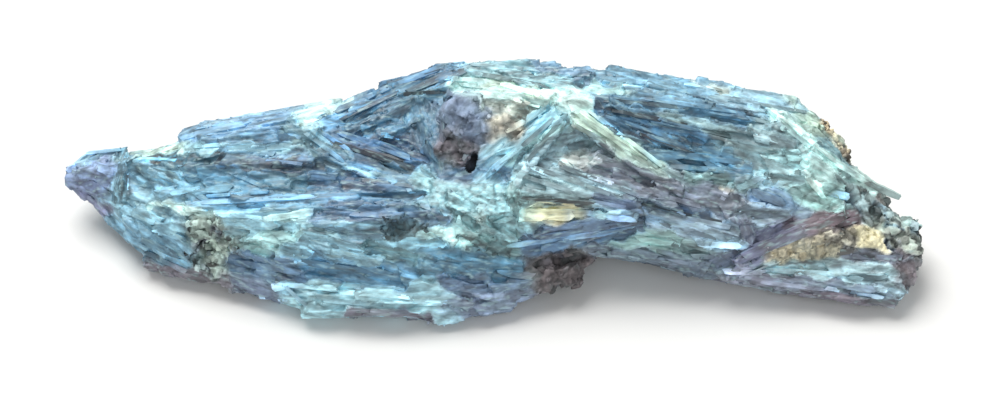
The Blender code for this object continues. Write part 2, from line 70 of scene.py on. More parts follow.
def unit(vectors):
    """Vectors made one long."""
    return vectors / np.linalg.norm(vectors, axis=-1, keepdims=True).clip(1e-12)


# ---- The camera: a frame of 995 x 415 pixels, looking down on the show face ----

FRAME_SIZE = (995, 415)
SENSOR = 36.0
ELEVATION = math.radians(50.0)
PIXEL = 0.1734 * MM  # what one pixel covers at TARGET
PX = PIXEL / MM  # millimetres in a pixel
DISTANCE = 0.70  # from TARGET to the camera
LENS = SENSOR * DISTANCE / (FRAME_SIZE[0] * PIXEL)
TARGET = np.array((0.0010, -0.00585, 0.0133))
CAM_RIGHT = np.array((1.0, 0.0, 0.0))
CAM_UP = np.array((0.0, math.sin(ELEVATION), math.cos(ELEVATION)))
CAM_BACK = np.array((0.0, -math.cos(ELEVATION), math.sin(ELEVATION)))
CAM_SPOT = TARGET + CAM_BACK * DISTANCE


def pixels_of(points):
    """Where points fall in the camera's frame, in pixels from its top left corner."""
    seen = np.asarray(points) - CAM_SPOT
    reach = FRAME_SIZE[0] * LENS / SENSOR / (seen @ -CAM_BACK)
    across = FRAME_SIZE[0] / 2 + (seen @ CAM_RIGHT) * reach
    down = FRAME_SIZE[1] / 2 - (seen @ CAM_UP) * reach
    return np.stack((across, down), axis=-1)


def pixel_ray(pixel):
    """The direction from the camera to a pixel of the frame."""
    across = (pixel[0] - FRAME_SIZE[0] / 2) * SENSOR / FRAME_SIZE[0] / LENS
    down = (pixel[1] - FRAME_SIZE[1] / 2) * SENSOR / FRAME_SIZE[0] / LENS
    return Vector(unit(across * CAM_RIGHT - down * CAM_UP - CAM_BACK))


# ---- Colours, as 8-bit sRGB ----

TONES = {
    "white": (226, 243, 230),
    "ice": (186, 211, 204),
    "mint": (172, 200, 182),
    "pale": (164, 197, 198),
    "sky": (117, 160, 184),
    "steel": (86, 130, 155),
    "denim": (68, 105, 131),
    "navy": (40, 69, 98),
    "ink": (25, 40, 55),
    "teal": (80, 119, 128),
    "deep": (54, 98, 116),
    "slate": (90, 113, 134),
    "lilac": (133, 140, 162),
    "violet": (98, 111, 139),
    "plum": (110, 106, 140),
    "mauve": (98, 92, 106),
    "wine": (118, 90, 97),
    "taupe": (133, 127, 131),
    "brown": (116, 95, 87),
    "umber": (58, 49, 50),
    "blush": (198, 172, 158),
    "straw": (217, 210, 176),
    "ochre": (222, 184, 120),
    "rust": (150, 98, 68),
    "moss": (108, 129, 108),
    # pitch is used only in a hole, as painted shade.
    "pitch": (16, 18, 18),
}

# Painted light: the cool colour and extra brightness of the light are put into the tones, not the
# stone's own colour.
PAINTED_LIGHT_CAST = np.array((1.03, 1.18, 1.28))  # painted light: a cool tint and brightening of the light, multiplied into every tone
LUMA = np.array((0.2126, 0.7152, 0.0722))  # each linear channel's part in the brightness


def linear(tone):
    """A tone as linear RGB, by the formula for sRGB, with the painted cool tint and brightening of
    the light on it.
    """
    srgb = np.array(TONES[tone]) / 255
    return np.where(srgb <= 0.04045, srgb / 12.92, ((srgb + 0.055) / 1.055) ** 2.4) * PAINTED_LIGHT_CAST


# ---- The grain of the specimen, patch by patch ----
#
# start and end are pixels of the frame: the patch lies along that line, reach pixels to each side,
# and its blades run that way. size is a blade's (length, width) in pixels, skew how far it strays
# in degrees. A patch's kind is "blades", "crumbs" of matrix, "bare" matrix, or a "hole" in it.

Patch = namedtuple("Patch", "name start end reach tones size skew kind", defaults=("blades",))


def hole(name, start, end, reach, tones):
    """A patch where the matrix has a hole: sunk in, with near-black tones that are painted shade."""
    return Patch(name, start, end, reach, tones, (8, 6), 0, "hole")


GRAIN = [
    # the violet tip and the neck behind it
    Patch("tip", (64, 174), (112, 168), 16, "plum lilac plum sky", (22, 8), 12),
    Patch("tip_edge", (78, 160), (112, 150), 6, "pale sky lilac", (18, 5), 6),
    Patch("tip_low", (80, 194), (104, 214), 7, "plum mauve lilac", (14, 5), 14),
    Patch("tip_ribs", (121, 152), (117, 198), 9, "deep slate pale teal", (30, 3.5), 4),
    Patch("neck_top", (130, 152), (184, 146), 6, "ice pale mint straw", (24, 5), 8),
    Patch("neck_dark", (150, 157), (222, 158), 5, "deep ink teal", (36, 4), 5),
    Patch("neck_face", (136, 166), (190, 186), 13, "pale sky steel teal", (26, 8), 14),
    # the upper left ridge
    Patch("ridge", (184, 136), (288, 114), 10, "denim sky lilac sky", (46, 8), 5),
    Patch("ridge_edge", (184, 128), (296, 106), 5, "pale lilac sky", (30, 4), 6),
    Patch("ridge_shade", (200, 139), (296, 137), 5, "denim steel sky", (44, 5), 4),
    Patch("white_plate", (300, 118), (346, 104), 10, "white white ice", (30, 10), 8),
    Patch("roof_pale", (186, 146), (300, 150), 6, "pale sky mint sky", (34, 5), 5),
    Patch("roof_plate", (226, 150), (268, 149), 6, "sky sky sky", (34, 7), 3),
    Patch("roof_blush", (268, 152), (302, 153), 4, "sky steel taupe", (20, 4), 8),
    Patch("mint_diagonal", (292, 122), (348, 160), 9, "steel teal denim pale", (30, 5), 9),
    Patch("brown_streaks", (226, 163), (298, 168), 8, "steel umber navy navy", (34, 5), 6),
    # the long streaks of the left half
    Patch("left_mid", (190, 174), (300, 180), 9, "steel denim teal deep", (34, 6), 7),
    Patch("ice_streak", (166, 192), (240, 188), 5, "pale sky sky", (36, 5), 5),
    Patch("long_sky", (200, 200), (420, 196), 8, "sky steel denim sky", (60, 6), 3),
    Patch("long_ice", (200, 206), (316, 208), 6, "sky steel sky pale", (56, 5), 3),
    Patch("ice_plate", (270, 216), (314, 214), 6, "ice pale ice", (34, 7), 5),
    Patch("left_thin", (150, 206), (212, 212), 4, "white ice white", (40, 3), 4),
    Patch("cheek", (118, 206), (170, 224), 14, "pale sky steel pale", (32, 10), 9),
    Patch("cheek_low", (126, 226), (188, 262), 16, "sky steel sky pale", (38, 9), 8),
    Patch("keel_brown", (150, 268), (226, 284), 8, "mauve taupe mauve brown", (22, 5), 14),
    Patch("keel_right", (236, 283), (266, 293), 8, "violet slate taupe", (26, 6), 8),
    Patch("left_band", (232, 222), (330, 234), 9, "pale sky pale teal", (28, 5), 10),
    Patch("pale_bits", (258, 236), (300, 232), 8, "pale mint pale", (14, 6), 25),
    Patch("left_violet", (232, 262), (300, 282), 8, "slate violet slate steel", (40, 6), 5),
    Patch("left_low", (300, 240), (372, 262), 10, "sky pale steel pale", (36, 6), 7),
    Patch("low_navy", (320, 262), (400, 278), 10, "steel denim steel sky", (46, 7), 5),
    Patch("pale_strip", (280, 284), (336, 288), 5, "pale sky ice", (32, 5), 6),
    Patch("pale_ledge", (300, 300), (450, 300), 11, "pale ice sky pale", (44, 7), 6),
    Patch("ledge_foot", (352, 313), (424, 317), 5, "mauve taupe mauve", (40, 5), 4),
    Patch("foot_right", (445, 302), (525, 302), 8, "slate lilac taupe slate", (32, 5), 7),
    Patch("low_violet", (450, 286), (524, 282), 7, "slate denim lilac", (36, 5), 6),
    Patch("low_denim", (426, 256), (520, 268), 10, "denim teal steel", (32, 6), 8),
    Patch("moss_streak", (366, 246), (426, 258), 5, "steel moss teal", (26, 4), 8),
    # the arch and the hollow under it
    Patch("arch", (332, 122), (440, 72), 12, "denim navy steel sky denim", (56, 8), 4),
    Patch("arch_top", (380, 86), (460, 62), 6, "denim navy denim", (40, 5), 5),
    Patch("arch_in", (352, 128), (420, 92), 9, "denim deep navy teal", (34, 6), 9),
    Patch("arch_green", (397, 92), (440, 96), 9, "deep steel teal ink", (22, 5), 14),
    Patch("arch_bits", (360, 124), (390, 124), 10, "steel deep denim", (12, 6), 25),
    Patch("hollow_high", (332, 134), (420, 160), 8, "denim navy navy", (50, 6), 4),
    Patch("hollow_line", (336, 143), (412, 166), 4, "ink ink ink", (50, 4), 3),
    Patch("hollow_mid", (330, 156), (400, 174), 8, "denim navy steel", (44, 6), 6),
    Patch("hollow_pale", (346, 168), (396, 178), 5, "pale sky", (30, 4), 6),
    Patch("hollow_low", (320, 178), (410, 190), 8, "navy denim slate", (40, 6), 6),
    Patch("lump_side", (420, 100), (436, 170), 10, "slate denim teal", (24, 6), 12),
    Patch("sky_streak", (330, 201), (404, 200), 6, "denim navy denim", (50, 6), 3),
    Patch("dark_streak", (314, 214), (445, 216), 7, "denim slate navy", (50, 6), 4),
    Patch("left_of_eye", (330, 226), (382, 230), 9, "pale slate steel", (30, 5), 9),
    Patch("under_eye", (380, 244), (440, 246), 6, "teal pale steel", (18, 6), 20),
    # the jumbled middle
    Patch("centre", (430, 190), (520, 226), 22, "mint teal pale steel", (16, 7), 35),
    Patch("centre_top", (440, 176), (500, 168), 8, "denim slate denim", (22, 5), 15),
    Patch("centre_pale", (416, 232), (470, 240), 10, "teal ice pale white mint", (11, 5), 25),
    Patch("centre_dark", (480, 244), (514, 250), 8, "deep ink moss", (16, 6), 25),
    Patch("centre_right", (512, 190), (522, 240), 7, "pale teal mint", (16, 5), 20),
    # the crest and the star that the blades spread from
    Patch("top_white", (440, 66), (482, 62), 5, "pale sky ice", (26, 5), 6),
    Patch("top_blue", (480, 70), (560, 80), 7, "pale sky mint denim pale", (44, 5), 5),
    Patch("top_right", (540, 68), (592, 70), 6, "sky steel taupe", (26, 5), 8),
    Patch("mint_band", (450, 84), (560, 104), 8, "mint ice pale white", (46, 6), 5),
    Patch("straw_band", (490, 82), (556, 104), 6, "straw ice mint", (40, 6), 4),
    Patch("star", (548, 96), (584, 110), 10, "white white ice", (18, 6), 30),
    Patch("tan_side", (484, 104), (524, 108), 8, "mint taupe blush moss", (18, 6), 15),
    Patch("down_left", (560, 112), (484, 172), 12, "pale sky pale teal", (46, 7), 5),
    Patch("down_dark", (556, 126), (508, 162), 6, "ice pale mint pale", (36, 5), 5),
    Patch("triangle", (548, 148), (592, 138), 8, "taupe pale slate pale", (22, 5), 15),
    Patch("blush", (574, 160), (600, 164), 8, "blush ice blush pale", (16, 9), 12),
    Patch("straw_slope", (582, 116), (660, 170), 11, "straw mint moss pale", (40, 7), 5),
    Patch("straw_tail", (640, 160), (690, 186), 7, "straw mint pale sky", (24, 5), 8),
    Patch("lilac_laths", (522, 162), (620, 192), 8, "taupe pale slate pale", (56, 5), 4),
    Patch("lilac_under", (522, 178), (620, 198), 8, "pale taupe pale", (56, 5), 4),
    Patch("brown_band", (524, 200), (592, 203), 3, "umber moss slate", (40, 4), 4),
    Patch("lilac_join", (600, 196), (650, 210), 8, "slate violet lilac", (34, 5), 5),
    # the overhanging ledge
    Patch("ochre_plate", (528, 216), (572, 214), 8, "straw ochre straw straw", (30, 9), 3),
    Patch("ledge_blue", (640, 214), (524, 240), 9, "denim slate navy lilac", (56, 6), 4),
    # ledge_low's dark tones are partly the blue of its blades and partly painted shade along the
    # ledge's lower edge.
    Patch("ledge_low", (630, 236), (530, 250), 6, "navy slate denim", (44, 5), 5),
    Patch("ice_plates", (598, 214), (636, 216), 7, "ice pale slate", (22, 6), 7),
    Patch("mint_low", (612, 242), (676, 244), 8, "mint pale mint pale", (26, 6), 8),
    Patch("moss_low", (672, 246), (706, 250), 7, "moss taupe teal pale", (20, 5), 9),
    Patch("low_streaks", (590, 250), (720, 270), 7, "teal mauve slate taupe", (32, 5), 6),
    Patch("lilac_right", (640, 208), (735, 236), 9, "lilac pale taupe slate", (52, 6), 4),
    Patch("dark_line", (640, 200), (706, 220), 4, "navy ink", (40, 4), 3),
    Patch("ice_bits", (700, 246), (742, 244), 7, "lilac pale slate", (14, 6), 25),
    # the dark fan of the upper right and the plates above it
    Patch("brown_grey", (600, 168), (730, 196), 14, "taupe slate brown slate", (30, 6), 7),
    Patch("top_plate", (606, 76), (724, 84), 8, "steel sky slate pale", (56, 7), 4),
    Patch("top_straw", (692, 80), (726, 90), 4, "straw pale blush", (20, 4), 8),
    Patch("top_far", (724, 96), (812, 110), 8, "sky pale lilac pale", (48, 6), 5),
    Patch("fan_root", (596, 88), (626, 96), 6, "ice pale mint", (20, 5), 10),
    Patch("fan_high", (604, 100), (740, 118), 9, "steel slate denim teal sky", (70, 4.5), 4),
    Patch("fan_mid", (600, 108), (700, 136), 8, "navy deep steel denim navy", (70, 4.5), 4),
    Patch("fan_low", (606, 120), (690, 152), 8, "deep denim ink steel", (66, 4.5), 4),
    Patch("fan_end", (660, 116), (760, 140), 10, "moss pale teal slate taupe", (50, 5), 6),
    Patch("lake", (650, 152), (748, 168), 10, "teal steel denim deep steel", (44, 7), 6),
    Patch("lake_low", (690, 176), (750, 186), 8, "teal moss pale", (26, 6), 10),
    Patch("taupe_plates", (752, 132), (790, 142), 9, "taupe slate pale moss", (22, 8), 12),
    Patch("green_pit", (770, 156), (806, 160), 6, "teal pale deep mint", (22, 5), 10),
    # the white slash and the far slope
    Patch("slash", (771, 109), (825, 155), 4, "white ice", (36, 5), 4),
    Patch("slash_low", (825, 155), (900, 198), 7, "ice white mint taupe", (34, 6), 6),
    Patch("slash_side", (790, 130), (826, 160), 7, "ice pale mint", (28, 6), 8),
    Patch("above_slash", (790, 104), (840, 140), 8, "pale moss mint straw", (18, 5), 14),
    Patch("sky_patch", (806, 162), (824, 174), 8, "ice white ice", (16, 9), 10),
    Patch("ice_drop", (808, 178), (824, 196), 5, "white white", (18, 6), 8),
    Patch("end_slope", (828, 140), (850, 166), 8, "teal moss steel umber", (14, 6), 25),
    Patch("pale_teal", (740, 160), (800, 180), 10, "pale ice pale taupe", (18, 6), 18),
    Patch("mauve_patch", (734, 184), (762, 180), 8, "lilac pale pale", (18, 8), 14),
    Patch("blue_patch", (754, 192), (790, 208), 9, "lilac sky slate", (24, 9), 9),
    Patch("grey_streaks", (742, 214), (800, 214), 9, "lilac pale taupe slate", (24, 6), 12),
    Patch("blush_spot", (720, 188), (734, 192), 6, "blush straw", (10, 6), 20),
    Patch("umber_block", (740, 216), (750, 240), 7, "taupe slate mauve", (16, 8), 15),
    Patch("teal_mid", (800, 190), (850, 205), 10, "teal pale moss mint", (22, 6), 15),
    # the mauve band, and the rusty and pale rows under it
    Patch("mauve_band", (716, 266), (800, 226), 8, "mauve violet mauve", (56, 7), 3),
    Patch("wine_band", (788, 229), (854, 216), 8, "wine mauve brown", (50, 7), 3),
    Patch("under_ochre", (846, 254), (912, 258), 6, "slate taupe umber", (22, 5), 10),
    Patch("teal_low", (770, 266), (900, 272), 8, "slate ice taupe pale", (32, 6), 7),
    # edge_ice and edge_low are partly the lilac and purple of their blades, and partly painted
    # shadow with a painted reddish reflection along the bottom edge.
    Patch("edge_ice", (722, 276), (830, 290), 7, "lilac taupe mauve taupe", (38, 6), 5),
    Patch("edge_violet", (770, 282), (890, 296), 6, "lilac violet mauve pale", (44, 5), 4),
    Patch("edge_low", (800, 294), (900, 306), 5, "mauve wine mauve taupe", (34, 5), 5),
    # crumbs of matrix and broken ends
    Patch("pit", (204, 232), (212, 272), 18, "straw taupe moss pale umber", (9, 7), 0, "crumbs"),
    # The eye's dark tones are partly the dark matrix and partly painted shade in the pit.
    Patch("eye", (388, 228), (414, 228), 15, "ink slate umber deep moss", (7, 6), 0, "bare"),
    Patch("lump", (454, 108), (474, 112), 19, "slate taupe lilac slate", (10, 8), 0, "bare"),
    Patch("lump_tan", (496, 122), (516, 132), 12, "straw blush taupe", (9, 7), 0, "bare"),
    Patch("red_bits", (440, 146), (462, 166), 15, "umber mauve brown ink taupe", (8, 6), 0, "bare"),
    Patch("brown_bits", (474, 206), (482, 220), 7, "straw teal pale taupe", (6, 4), 0, "crumbs"),
    Patch("ochre_left", (780, 252), (824, 249), 11, "ochre taupe straw taupe", (8, 6), 0, "bare"),
    Patch("ochre_mid", (828, 236), (848, 240), 9, "umber taupe brown straw", (8, 6), 0, "bare"),
    Patch("ochre_right", (858, 234), (888, 244), 10, "straw ochre straw taupe", (8, 6), 0, "bare"),
    Patch("end_dark", (846, 202), (890, 214), 11, "taupe moss umber taupe pale", (12, 9), 0, "bare"),
    Patch("end_tips", (886, 220), (918, 246), 14, "taupe moss ink blush mint", (12, 9), 0, "bare"),
    Patch("end_low", (902, 258), (912, 276), 11, "taupe brown taupe wine", (9, 6), 0, "bare"),
    Patch("end_foot", (884, 290), (908, 298), 9, "taupe pale slate", (11, 7), 30),
    Patch("end_brow", (824, 120), (852, 160), 7, "umber ochre taupe umber", (7, 5), 0, "crumbs"),
    # The holes' and gaps' near-black tones are painted shade inside them.
    hole("lump_hole", (474, 160), (474, 170), 5, "pitch ink"),
    hole("pit_hole_a", (214, 233), (218, 234), 4, "ink umber"),
    hole("pit_hole_b", (192, 255), (206, 242), 3.5, "ink umber"),
    hole("pit_hole_c", (206, 266), (208, 272), 4, "ink umber"),
    hole("end_gap_a", (843, 198), (860, 210), 4, "deep ink slate"),
    hole("end_gap_b", (878, 204), (888, 222), 4, "ink deep umber"),
    hole("end_gap_c", (888, 226), (901, 227), 2.5, "deep ink"),
    hole("end_gap_d", (889, 238), (895, 248), 3.5, "ink ink"),
    hole("end_gap_e", (914, 231), (926, 232), 3, "ink deep umber"),
    hole("end_gap_f", (912, 257), (926, 257), 3, "ink umber brown"),
    Patch("end_block", (883, 198), (885, 204), 5, "blush taupe blush", (9, 8), 0, "bare"),
    Patch("end_ice", (904, 222), (918, 222), 7, "taupe ice mint", (13, 8), 20),
    Patch("end_cream", (906, 248), (918, 248), 6, "blush straw ice", (11, 8), 20),
    # The recess's dark umber is partly iron stain and partly painted shade under the ledge.
    Patch("recess", (532, 272), (584, 266), 15, "umber brown umber taupe", (8, 6), 0, "bare"),
]

HUE_SPREAD = 1.06  # how far apart the hues of the patches lie, next to those of their tones
BLEND = 0.25  # how far neighbouring patches run into each other
HIDDEN_BLEND = 3.0  # how much further they do on the hidden faces
EASE = 0.6  # how much of the step in brightness between them that takes away
OWN_HUE = 0.1  # how much of its tone's own hue a spot keeps, over the hue of the ground there

PATCH_STARTS = np.array([p.start for p in GRAIN], float)
PATCH_RUNS = np.array([p.end for p in GRAIN], float) - PATCH_STARTS
PATCH_ANGLES = np.arctan2(-PATCH_RUNS[:, 1], PATCH_RUNS[:, 0])
PATCH_REACHES = np.array([p.reach for p in GRAIN], float)
PATCH_SIZES = np.array([p.size for p in GRAIN], float) * PX
PATCH_SKEWS = np.radians([p.skew for p in GRAIN])
PATCH_KINDS = np.array([p.kind for p in GRAIN])
PATCH_TONES = [np.array([linear(tone) for tone in p.tones.split()]) for p in GRAIN]
PATCH_LUMAS = np.array([np.log(tones @ LUMA).mean() for tones in PATCH_TONES])
TONE_HUES = np.array([tones.sum(axis=0) / (tones @ LUMA).sum() for tones in PATCH_TONES])
MEAN_HUE = TONE_HUES.mean(axis=0)
PATCH_HUES = MEAN_HUE + (TONE_HUES - MEAN_HUE) * HUE_SPREAD


def gaps_at(pixels):
    """How far each pixel lies from each patch's line, next to the patch's reach."""
    off = pixels[:, None] - PATCH_STARTS
    share = (off * PATCH_RUNS).sum(-1) / (PATCH_RUNS**2).sum(-1)
    nearest = share.clip(0, 1)[..., None] * PATCH_RUNS
    return np.linalg.norm(off - nearest, axis=-1) / PATCH_REACHES


def in_hue(colours, hues):
    """Colours with most of their own hue given up for these hues."""
    grey = colours @ LUMA
    return colours * OWN_HUE + hues * grey[..., None] * (1 - OWN_HUE)


def tones_at(patches, hues, picks):
    """Colours from the tones of these patches, 0 for the first and 1 for the last of them.

    The alpha is 0 on matrix and 1 on kyanite.
    """
    tints = np.empty((len(patches), 4))
    for patch in np.unique(patches):
        chosen = patches == patch
        tones = PATCH_TONES[patch]
        reach = picks[chosen].clip(0, 1) * (len(tones) - 1)
        for channel in range(3):
            tints[chosen, channel] = np.interp(reach, np.arange(len(tones)), tones[:, channel])
    tints[:, :3] = in_hue(tints[:, :3], hues)
    tints[:, 3] = PATCH_KINDS[patches] == "blades"
    return tints


# ---- The solid as ground, and the grain over it ----

HIDDEN_FROM = 0.15  # a face starts to be hidden where its normal points less at the camera
HIDDEN_OVER = 0.3  # and is wholly hidden where it points so much less again
NOISE_GAIN = 0.55  # brings Blender's noise to about 0 to 1
BACK_WANDER = 34.0  # pixels that the grain of the hidden faces strays from the show face's
WANDER_SIZE = 21.0  # from one such stray to the next
BORDER_WANDER = 7.0  # pixels that the borders between patches stray
BORDER_SIZE = 2.6  # from one such stray to the next
BATCH = 20000  # points whose patches are looked up at once
STEEP = 0.2  # least that a normal is taken to point at the camera
SIDEWAYS = 1.3  # most that a blade's heading may lean along the view to stay on steep ground
RAGGED = 0.5  # how much the borders between patches mix where blades and crumbs are sown


def triangles_of(mesh):
    """The corners of a mesh's triangles, (count, 3, 3)."""
    mesh.calc_loop_triangles()
    corners = np.empty(len(mesh.loop_triangles) * 3, np.int32)
    mesh.loop_triangles.foreach_get("vertices", corners)
    spots = np.empty(len(mesh.vertices) * 3)
    mesh.vertices.foreach_get("co", spots)
    return spots.reshape(-1, 3)[corners].reshape(-1, 3, 3)


def scatter(triangles, count, rng):
    """count points spread evenly over triangles, the normals there, and the area of all."""
    sides = np.cross(triangles[:, 1] - triangles[:, 0], triangles[:, 2] - triangles[:, 0])
    areas = np.linalg.norm(sides, axis=1) / 2
    chosen = rng.choice(len(triangles), count, p=areas / areas.sum())
    a, b = rng.random((2, count))
    over = a + b > 1
    a[over], b[over] = 1 - a[over], 1 - b[over]
    corner = triangles[chosen]
    points = corner[:, 0] + a[:, None] * (corner[:, 1] - corner[:, 0])
    points += b[:, None] * (corner[:, 2] - corner[:, 0])
    return points, unit(sides)[chosen], areas.sum()


def wander(points, size):
    """A stray of up to 1 along two directions. size is from one stray to the next."""
    return np.array([noise.noise_vector(Vector(p) / (size * MM))[:2] for p in points])


def noise_over(places, scale):
    """Noise from 0 to 1 over places, scale times as fine along each of their axes."""
    found = [0.5 + NOISE_GAIN * noise.noise(Vector(row)) for row in places * scale]
    return np.array(found).clip(0, 1)


def grain_at(points, normals, rng, ragged):
    """Each point's patch number, and its hue. Hidden faces take a strayed copy of the grain.

    ragged moves the borders between patches about.
    """
    pixels = pixels_of(points)
    hidden = ((HIDDEN_FROM - normals @ CAM_BACK) / HIDDEN_OVER).clip(0, 1)[:, None]
    pixels = pixels + hidden * wander(points, WANDER_SIZE) * BACK_WANDER
    pixels += wander(points, BORDER_SIZE) * BORDER_WANDER
    patches = np.empty(len(points), int)
    hues = np.empty((len(points), 3))
    for low in range(0, len(points), BATCH):
        batch = slice(low, low + BATCH)
        gaps = gaps_at(pixels[batch])
        patches[batch] = (gaps + rng.uniform(0, ragged, gaps.shape)).argmin(axis=1)
        blend = BLEND * (1 + hidden[batch] * HIDDEN_BLEND)
        weights = np.exp((gaps.min(axis=1, keepdims=True) - gaps) / blend)
        weights /= weights.sum(axis=1, keepdims=True)
        step = weights @ PATCH_LUMAS - PATCH_LUMAS[patches[batch]]
        hues[batch] = weights @ PATCH_HUES * np.exp(step * EASE)[:, None]
    return patches, hues


def sown(triangles, density, rng):
    """Points sown over triangles, density of them to a square millimetre of each patch.

    Gives the points, the normals there, their patches and their hues.
    """
    area = scatter(triangles, 1, rng)[2] / MM**2
    points, normals, _ = scatter(triangles, int(area * density.max()), rng)
    patches, hues = grain_at(points, normals, rng, RAGGED)
    grown = rng.random(len(points)) < density[patches] / density.max()
    return points[grown], normals[grown], patches[grown], hues[grown]


def headings(patches, normals, turns):
    """The direction of the grain along the ground at points of these patches, turned by turns."""
    angle = PATCH_ANGLES[patches] + turns
    flat = np.cos(angle)[:, None] * CAM_RIGHT + np.sin(angle)[:, None] * CAM_UP
    facing = normals @ CAM_BACK
    facing = np.where(np.abs(facing) < STEEP, np.copysign(STEEP, facing), facing)
    lean = (-(flat * normals).sum(-1) / facing).clip(-SIDEWAYS, SIDEWAYS)
    along = flat + lean[:, None] * CAM_BACK
    along -= (along * normals).sum(-1)[:, None] * normals
    return unit(along)


def field_of(points, patches):
    """Places in millimetres along, across and through the grain of the patches they lie in."""
    angle = PATCH_ANGLES[patches][:, None]
    along = np.cos(angle) * CAM_RIGHT + np.sin(angle) * CAM_UP
    across = np.cos(angle) * CAM_UP - np.sin(angle) * CAM_RIGHT
    return np.stack([(points * axis).sum(-1) for axis in (along, across, CAM_BACK)], axis=-1) / MM


# ---- Pieces: meshes with a tint at each corner, a map of the grain, and an atlas ----

ATLAS_GAP = 0.1  # between two neighbours in an atlas
ATLAS_SPARE = 1.04  # how much longer an atlas's side is than its boxes need if none is lost


def make_piece(name, spots, faces, tints, field, grain, atlas, material):
    """A piece of the specimen. Its faces have equally many corners each.

    tints, grain and atlas are given at each corner of each face, field at each spot.
    """
    mesh = bpy.data.meshes.new(name)
    mesh.vertices.add(len(spots))
    mesh.vertices.foreach_set("co", spots.astype(np.float32).ravel())
    mesh.loops.add(faces.size)
    mesh.loops.foreach_set("vertex_index", faces.astype(np.int32).ravel())
    mesh.polygons.add(len(faces))
    mesh.polygons.foreach_set("loop_start", np.arange(0, faces.size, faces.shape[1]))
    mesh.update(calc_edges=True)
    layer = mesh.attributes.new("tint", "FLOAT_COLOR", "CORNER")
    layer.data.foreach_set("color", tints.astype(np.float32).ravel())
    layer = mesh.attributes.new("field", "FLOAT_VECTOR", "POINT")
    layer.data.foreach_set("vector", field.astype(np.float32).ravel())
    for label, places in (("grain", grain), ("OFBake", atlas)):
        mesh.uv_layers.new(name=label)
        mesh.uv_layers[label].uv.foreach_set("vector", places.astype(np.float32).ravel())
    mesh.uv_layers["OFBake"].active = True
    mesh.materials.append(material)
    mesh.shade_flat()
    piece = bpy.data.objects.new(name, mesh)
    bpy.context.scene.collection.objects.link(piece)
    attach(piece, "root")
    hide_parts(NODE)
    return piece


def shelf_pack(sizes):
    """Lower corners for boxes of these (width, height), laid in rows, and the square they fill."""
    sizes = sizes + ATLAS_GAP
    side = math.sqrt(sizes.prod(axis=1).sum()) * ATLAS_SPARE
    corners = np.empty_like(sizes)
    x = y = row = 0.0
    for i in np.argsort(-sizes[:, 1], kind="stable"):
        if x + sizes[i, 0] > side and x > 0:
            x, y, row = 0.0, y + row, 0.0
        corners[i] = x, y
        x += sizes[i, 0]
        row = max(row, sizes[i, 1])
    return corners, max(side, y + row, sizes[:, 0].max())


def clamp_to_solid(spots):
    """Keeps a piece's points inside the solid's box."""
    return spots.clip(np.array(cad_low), np.array(cad_high))


# ---- Blades, as laths: a profile along a few rings, with both ends broken off ----

# The four points of a ring: across the blade, and 1 where it's on the face.
PROFILE = np.array([(-0.5, 0), (-0.38, 1), (0.38, 1), (0.5, 0)])
ROOT = 0.8  # how far a blade's sides reach into the mass
ROLL = 0.22  # how much lower one edge may lie than the other, over the blade's whole width
CAP = 0.35  # what a broken end takes in the atlas
SIDE_IN_ATLAS = 0.4
GRAIN_SHIFT = 900  # how far apart on the map of the grain two blades may lie
RING_SHADES = (0.92, 1.08)  # how the shade changes from ring to ring

LOOK_FROM = 3.0  # how far over the ground a look for it starts
REACH_IN = 6.0  # how far in from there it goes
TRIES = 3
SHORTER = 0.62  # a blade's length at one try, next to the try before
MOST_SAG = 0.35  # how far from a blade the ground under its middle may be
MOST_STRETCH = 1.3  # how far apart the ground's spots under its ends may be, next to its length
LEAST_FACING = 0.3  # how far the ground there must face out from it

# Of each blade: the middles of its rings; its directions along, across and out; its width; the
# height, taper and slant of each ring; its face's and its edges' colour there; and its patch.
Laths = namedtuple("Laths", "rings axis side out width heights taper slant tint edge patches")


def lath_faces(rings):
    """A blade's faces, with the two broken ends last."""
    starts = [4 * r + k for r in range(rings - 1) for k in range(3)]
    last = 4 * (rings - 1)
    ends = [(0, 3, 2, 1), (last, last + 1, last + 2, last + 3)]
    return np.array([(i, i + 1, i + 5, i + 4) for i in starts] + ends)


def ground_under(ground, point, normal, step, half):
    """The ground's spots and normals under a blade's two ends and its middle, or None."""
    for _ in range(TRIES):
        hits = []
        for offset in (-1, 1, 0):
            start = point + step * half * offset + normal * LOOK_FROM * MM
            spot, facing, _, _ = ground.ray_cast(start, -normal, REACH_IN * MM)
            if spot is None:
                break
            hits.append((spot, facing))
        if len(hits) == 3:
            near, far, middle = (spot for spot, _ in hits)
            sag = ((near + far) / 2 - middle).length
            if sag < MOST_SAG * MM and (far - near).length < MOST_STRETCH * 2 * half:
                return hits
        half *= SHORTER
    return None


def place_laths(ground, points, normals, along, lengths):
    """Where each blade lies: its middle, axes and length, bridging the ground under its ends."""
    kept, centres, axes, outs, spans = [], [], [], [], []
    for i in range(len(points)):
        point, normal, step = Vector(points[i]), Vector(normals[i]), Vector(along[i])
        hits = ground_under(ground, point, normal, step, lengths[i] / 2 * MM)
        if hits is None:
            continue
        (near, near_out), (far, far_out), (middle, middle_out) = hits
        facing = (near_out + far_out + middle_out * 2 + normal).normalized()
        axis = (far - near).normalized()
        out = facing - axis * facing.dot(axis)
        if out.length < LEAST_FACING:
            continue
        kept.append(i)
        centres.append((near + far) / 4 + middle / 2)
        axes.append(axis)
        outs.append(out.normalized())
        spans.append((far - near).length)
    return np.array(kept), *(np.array(v, float) for v in (centres, axes, outs, spans))


